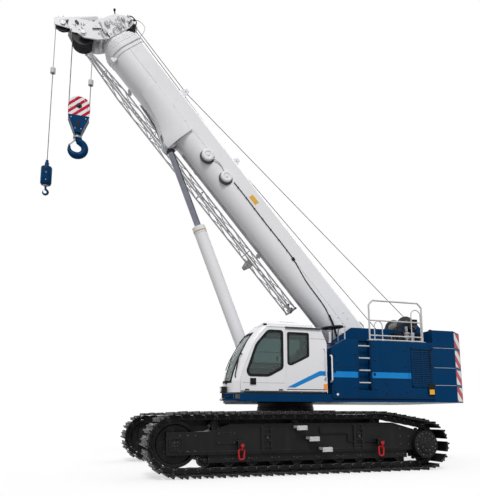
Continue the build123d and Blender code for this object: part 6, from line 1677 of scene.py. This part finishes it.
HOOK_TURN = (108, 372)    # degrees from the hook's throat to its tip
for name, body, x, top, bottom, size, plain_hook in (
        ("main_hook_forged", "block_hook", X, 7.944, 7.335, 0.172, "main_hook"),
        ("whip_hook_forged", "ball_hook", WHIP_X, 6.56, 6.31, 0.054, "whip_hook")):
    # forged hook that opens to the front, its nut and its spring latch
    hook = Shape()
    centre, reach = bottom + size * 1.55, size * 1.05
    points = [(x, 0, top), (x, 0, centre + size * 2.1), (x - size * 0.02, 0, centre + size * 1.7)]
    radii = [size * 0.42, size * 0.42, size * 0.46]
    for t in (k / 24 for k in range(25)):
        angle = radians(HOOK_TURN[0] + (HOOK_TURN[1] - HOOK_TURN[0]) * t)
        points.append(about((x, 0, centre), LEFT, reach * (1 + 0.02 * sin(pi * t)), angle))
        radii.append(size * (0.5 - 0.02 * t if t < 0.7 else 0.486 - 1.05 * (t - 0.7)))
    hook.tube(points + [(x + reach * 1.06, 0, centre + reach * 0.42)], radii + [size * 0.09], 20)
    nut = ((0, 0.38), (0, 0.62), (0.28, 0.62), (0.34, 0.5), (0.34, 0.38))
    hook.lathe([(size * along, size * r) for along, r in nut], (x, 0, top - size * 0.5), UP, 28, 1)
    latch = ((0.22, 1.3), (0.36, 1.34), (1.12, 0.5), (1.02, 0.4))
    hook.prism([(x + size * a, centre + size * b) for a, b in latch], -size * 0.2, size * 0.2, 1)
    hook.drum(x + size * 0.3, centre + size * 1.3, size * 0.09, -size * 0.26, size * 0.26, 14, 1)
    piece(name, body, hook, (NAVY, STEEL), "dark_grey_paint", 0, smooth_angle=50, instead_of=plain_hook)

BALL_R = 0.127
ball = Shape().lathe(
    [(6.56, 0), (6.56, 0.07), (6.575, 0.105), (6.6, BALL_R - 0.008), (6.615, BALL_R), (6.775, BALL_R),
     (6.78, BALL_R - 0.005), (6.79, BALL_R - 0.005), (6.795, BALL_R), (6.995, BALL_R), (7.015, BALL_R - 0.008),
     (7.035, 0.09), (7.045, 0.055), (7.07, 0.05), (WHIP_END, 0.032), (7.2, 0.028), (7.2, 0.009), (WHIP_END, 0)],
    (WHIP_X, 0, 0), UP, 48)
for out in BOTH:
    ball.disc((WHIP_X, out * (BALL_R - 0.003), 6.93), (0, out, 0), 0.035, 0.006, 28, 1)
    ball.bolts([(WHIP_X, out * (BALL_R - 0.001), z) for z in (6.66, 6.84)], (0, out, 0), 0.013, 2)
ball.rod((WHIP_X - 0.055, 0, 7.12), (WHIP_X + 0.055, 0, 7.12), 0.012, 12, 2)
ball.knob([(6.545, 0.055), (6.562, 0.07)], (WHIP_X, 0, 0), UP, 28, 2)
piece("whip_weight_turned", "whip_weight", ball, (NAVY, RUBBER, STEEL), "blue_paint", 0, instead_of="whip_ball")


# ---- floor, light, camera -------------------------------------------------------------------
def by_ray(tree, otherwise, when_seen):
    """One value for rays from the camera, off gloss or through glass, and another for all the rest."""
    rays = wired(tree, "LightPath").node.outputs
    seen = rays["Is Camera Ray"]
    for name in ("Is Glossy Ray", "Is Transmission Ray"):
        seen = wired(tree, "Math", {0: seen, 1: rays[name]}, operation="MAXIMUM")
    return wired(tree, "MapRange", {"Value": seen, "To Min": otherwise, "To Max": when_seen})


FLOOR_LIT = (0.36, 0.85)      # how much light the floor sends on, and how light it looks
FLOOR_GLOW = 0.6
FLOOR_HALF = 400.0
floor_mat = bpy.data.materials.new("studio_floor")
floor_mat.use_nodes = True
tree = floor_mat.node_tree
tree.nodes.remove(tree.nodes["Principled BSDF"])
floor_look = wired(tree, "MixShader", {"Fac": by_ray(tree, 0.0, FLOOR_GLOW), 2: wired(tree, "Emission"),
                                       1: wired(tree, "BsdfDiffuse", {"Color": by_ray(tree, *FLOOR_LIT)})})
feed(tree, tree.nodes["Material Output"].inputs["Surface"], floor_look)
floor_mesh = bpy.data.meshes.new("studio_floor")
floor_mesh.from_pydata([(FLOOR_HALF * a, FLOOR_HALF * b, 0) for a, b in ((-1, -1), (1, -1), (1, 1), (-1, 1))], [],
                       [(0, 1, 2, 3)])
floor_mesh.materials.append(floor_mat)
floor = placed("studio_floor", floor_mesh)

AMBIENT = 0.56
world = bpy.data.worlds.new("studio")
bpy.context.scene.world = world
world.use_nodes = True
sky = world.node_tree.nodes["Background"].inputs
feed(world.node_tree, sky["Color"], (1, 1, 1, 1))
feed(world.node_tree, sky["Strength"], by_ray(world.node_tree, AMBIENT, 1.0))

for name, source, energy, angle in (
        # name, direction the light comes from, energy, angle in degrees
        ("key_sun", (0.25, 0.75, 0.85), 2.3, 20), ("rim_sun", (-0.7, -0.3, 0.8), 0.5, 40)):
    lamp = bpy.data.lights.new(name, "SUN")
    lamp.energy = energy
    lamp.angle = radians(angle)
    placed(name, lamp).rotation_euler = Vector(source).to_track_quat("Z", "Y").to_euler()

EYE = (4.3685, 13.019, 1.178)
TURN = (18.129, 9.745, -0.18)     # yaw, pitch and roll in degrees
yaw, pitch, roll = map(radians, TURN)
forward = Vector((-sin(yaw) * cos(pitch), -cos(yaw) * cos(pitch), sin(pitch)))
right = forward.cross(Vector(UP)).normalized()
up = right.cross(forward)
axes = (right * cos(roll) + up * sin(roll), up * cos(roll) - right * sin(roll), -forward)
camera = placed("camera", bpy.data.cameras.new("camera"))
camera.data.lens = 39.43
camera.data.sensor_width = 36
camera.data.shift_x = -0.0213
camera.data.shift_y = 0.15
camera.data.clip_end = 500
camera.matrix_world = Matrix.Translation(EYE) @ Matrix(axes).transposed().to_4x4()
bpy.context.scene.camera = camera
bpy.context.scene.view_settings.view_transform = "Standard"
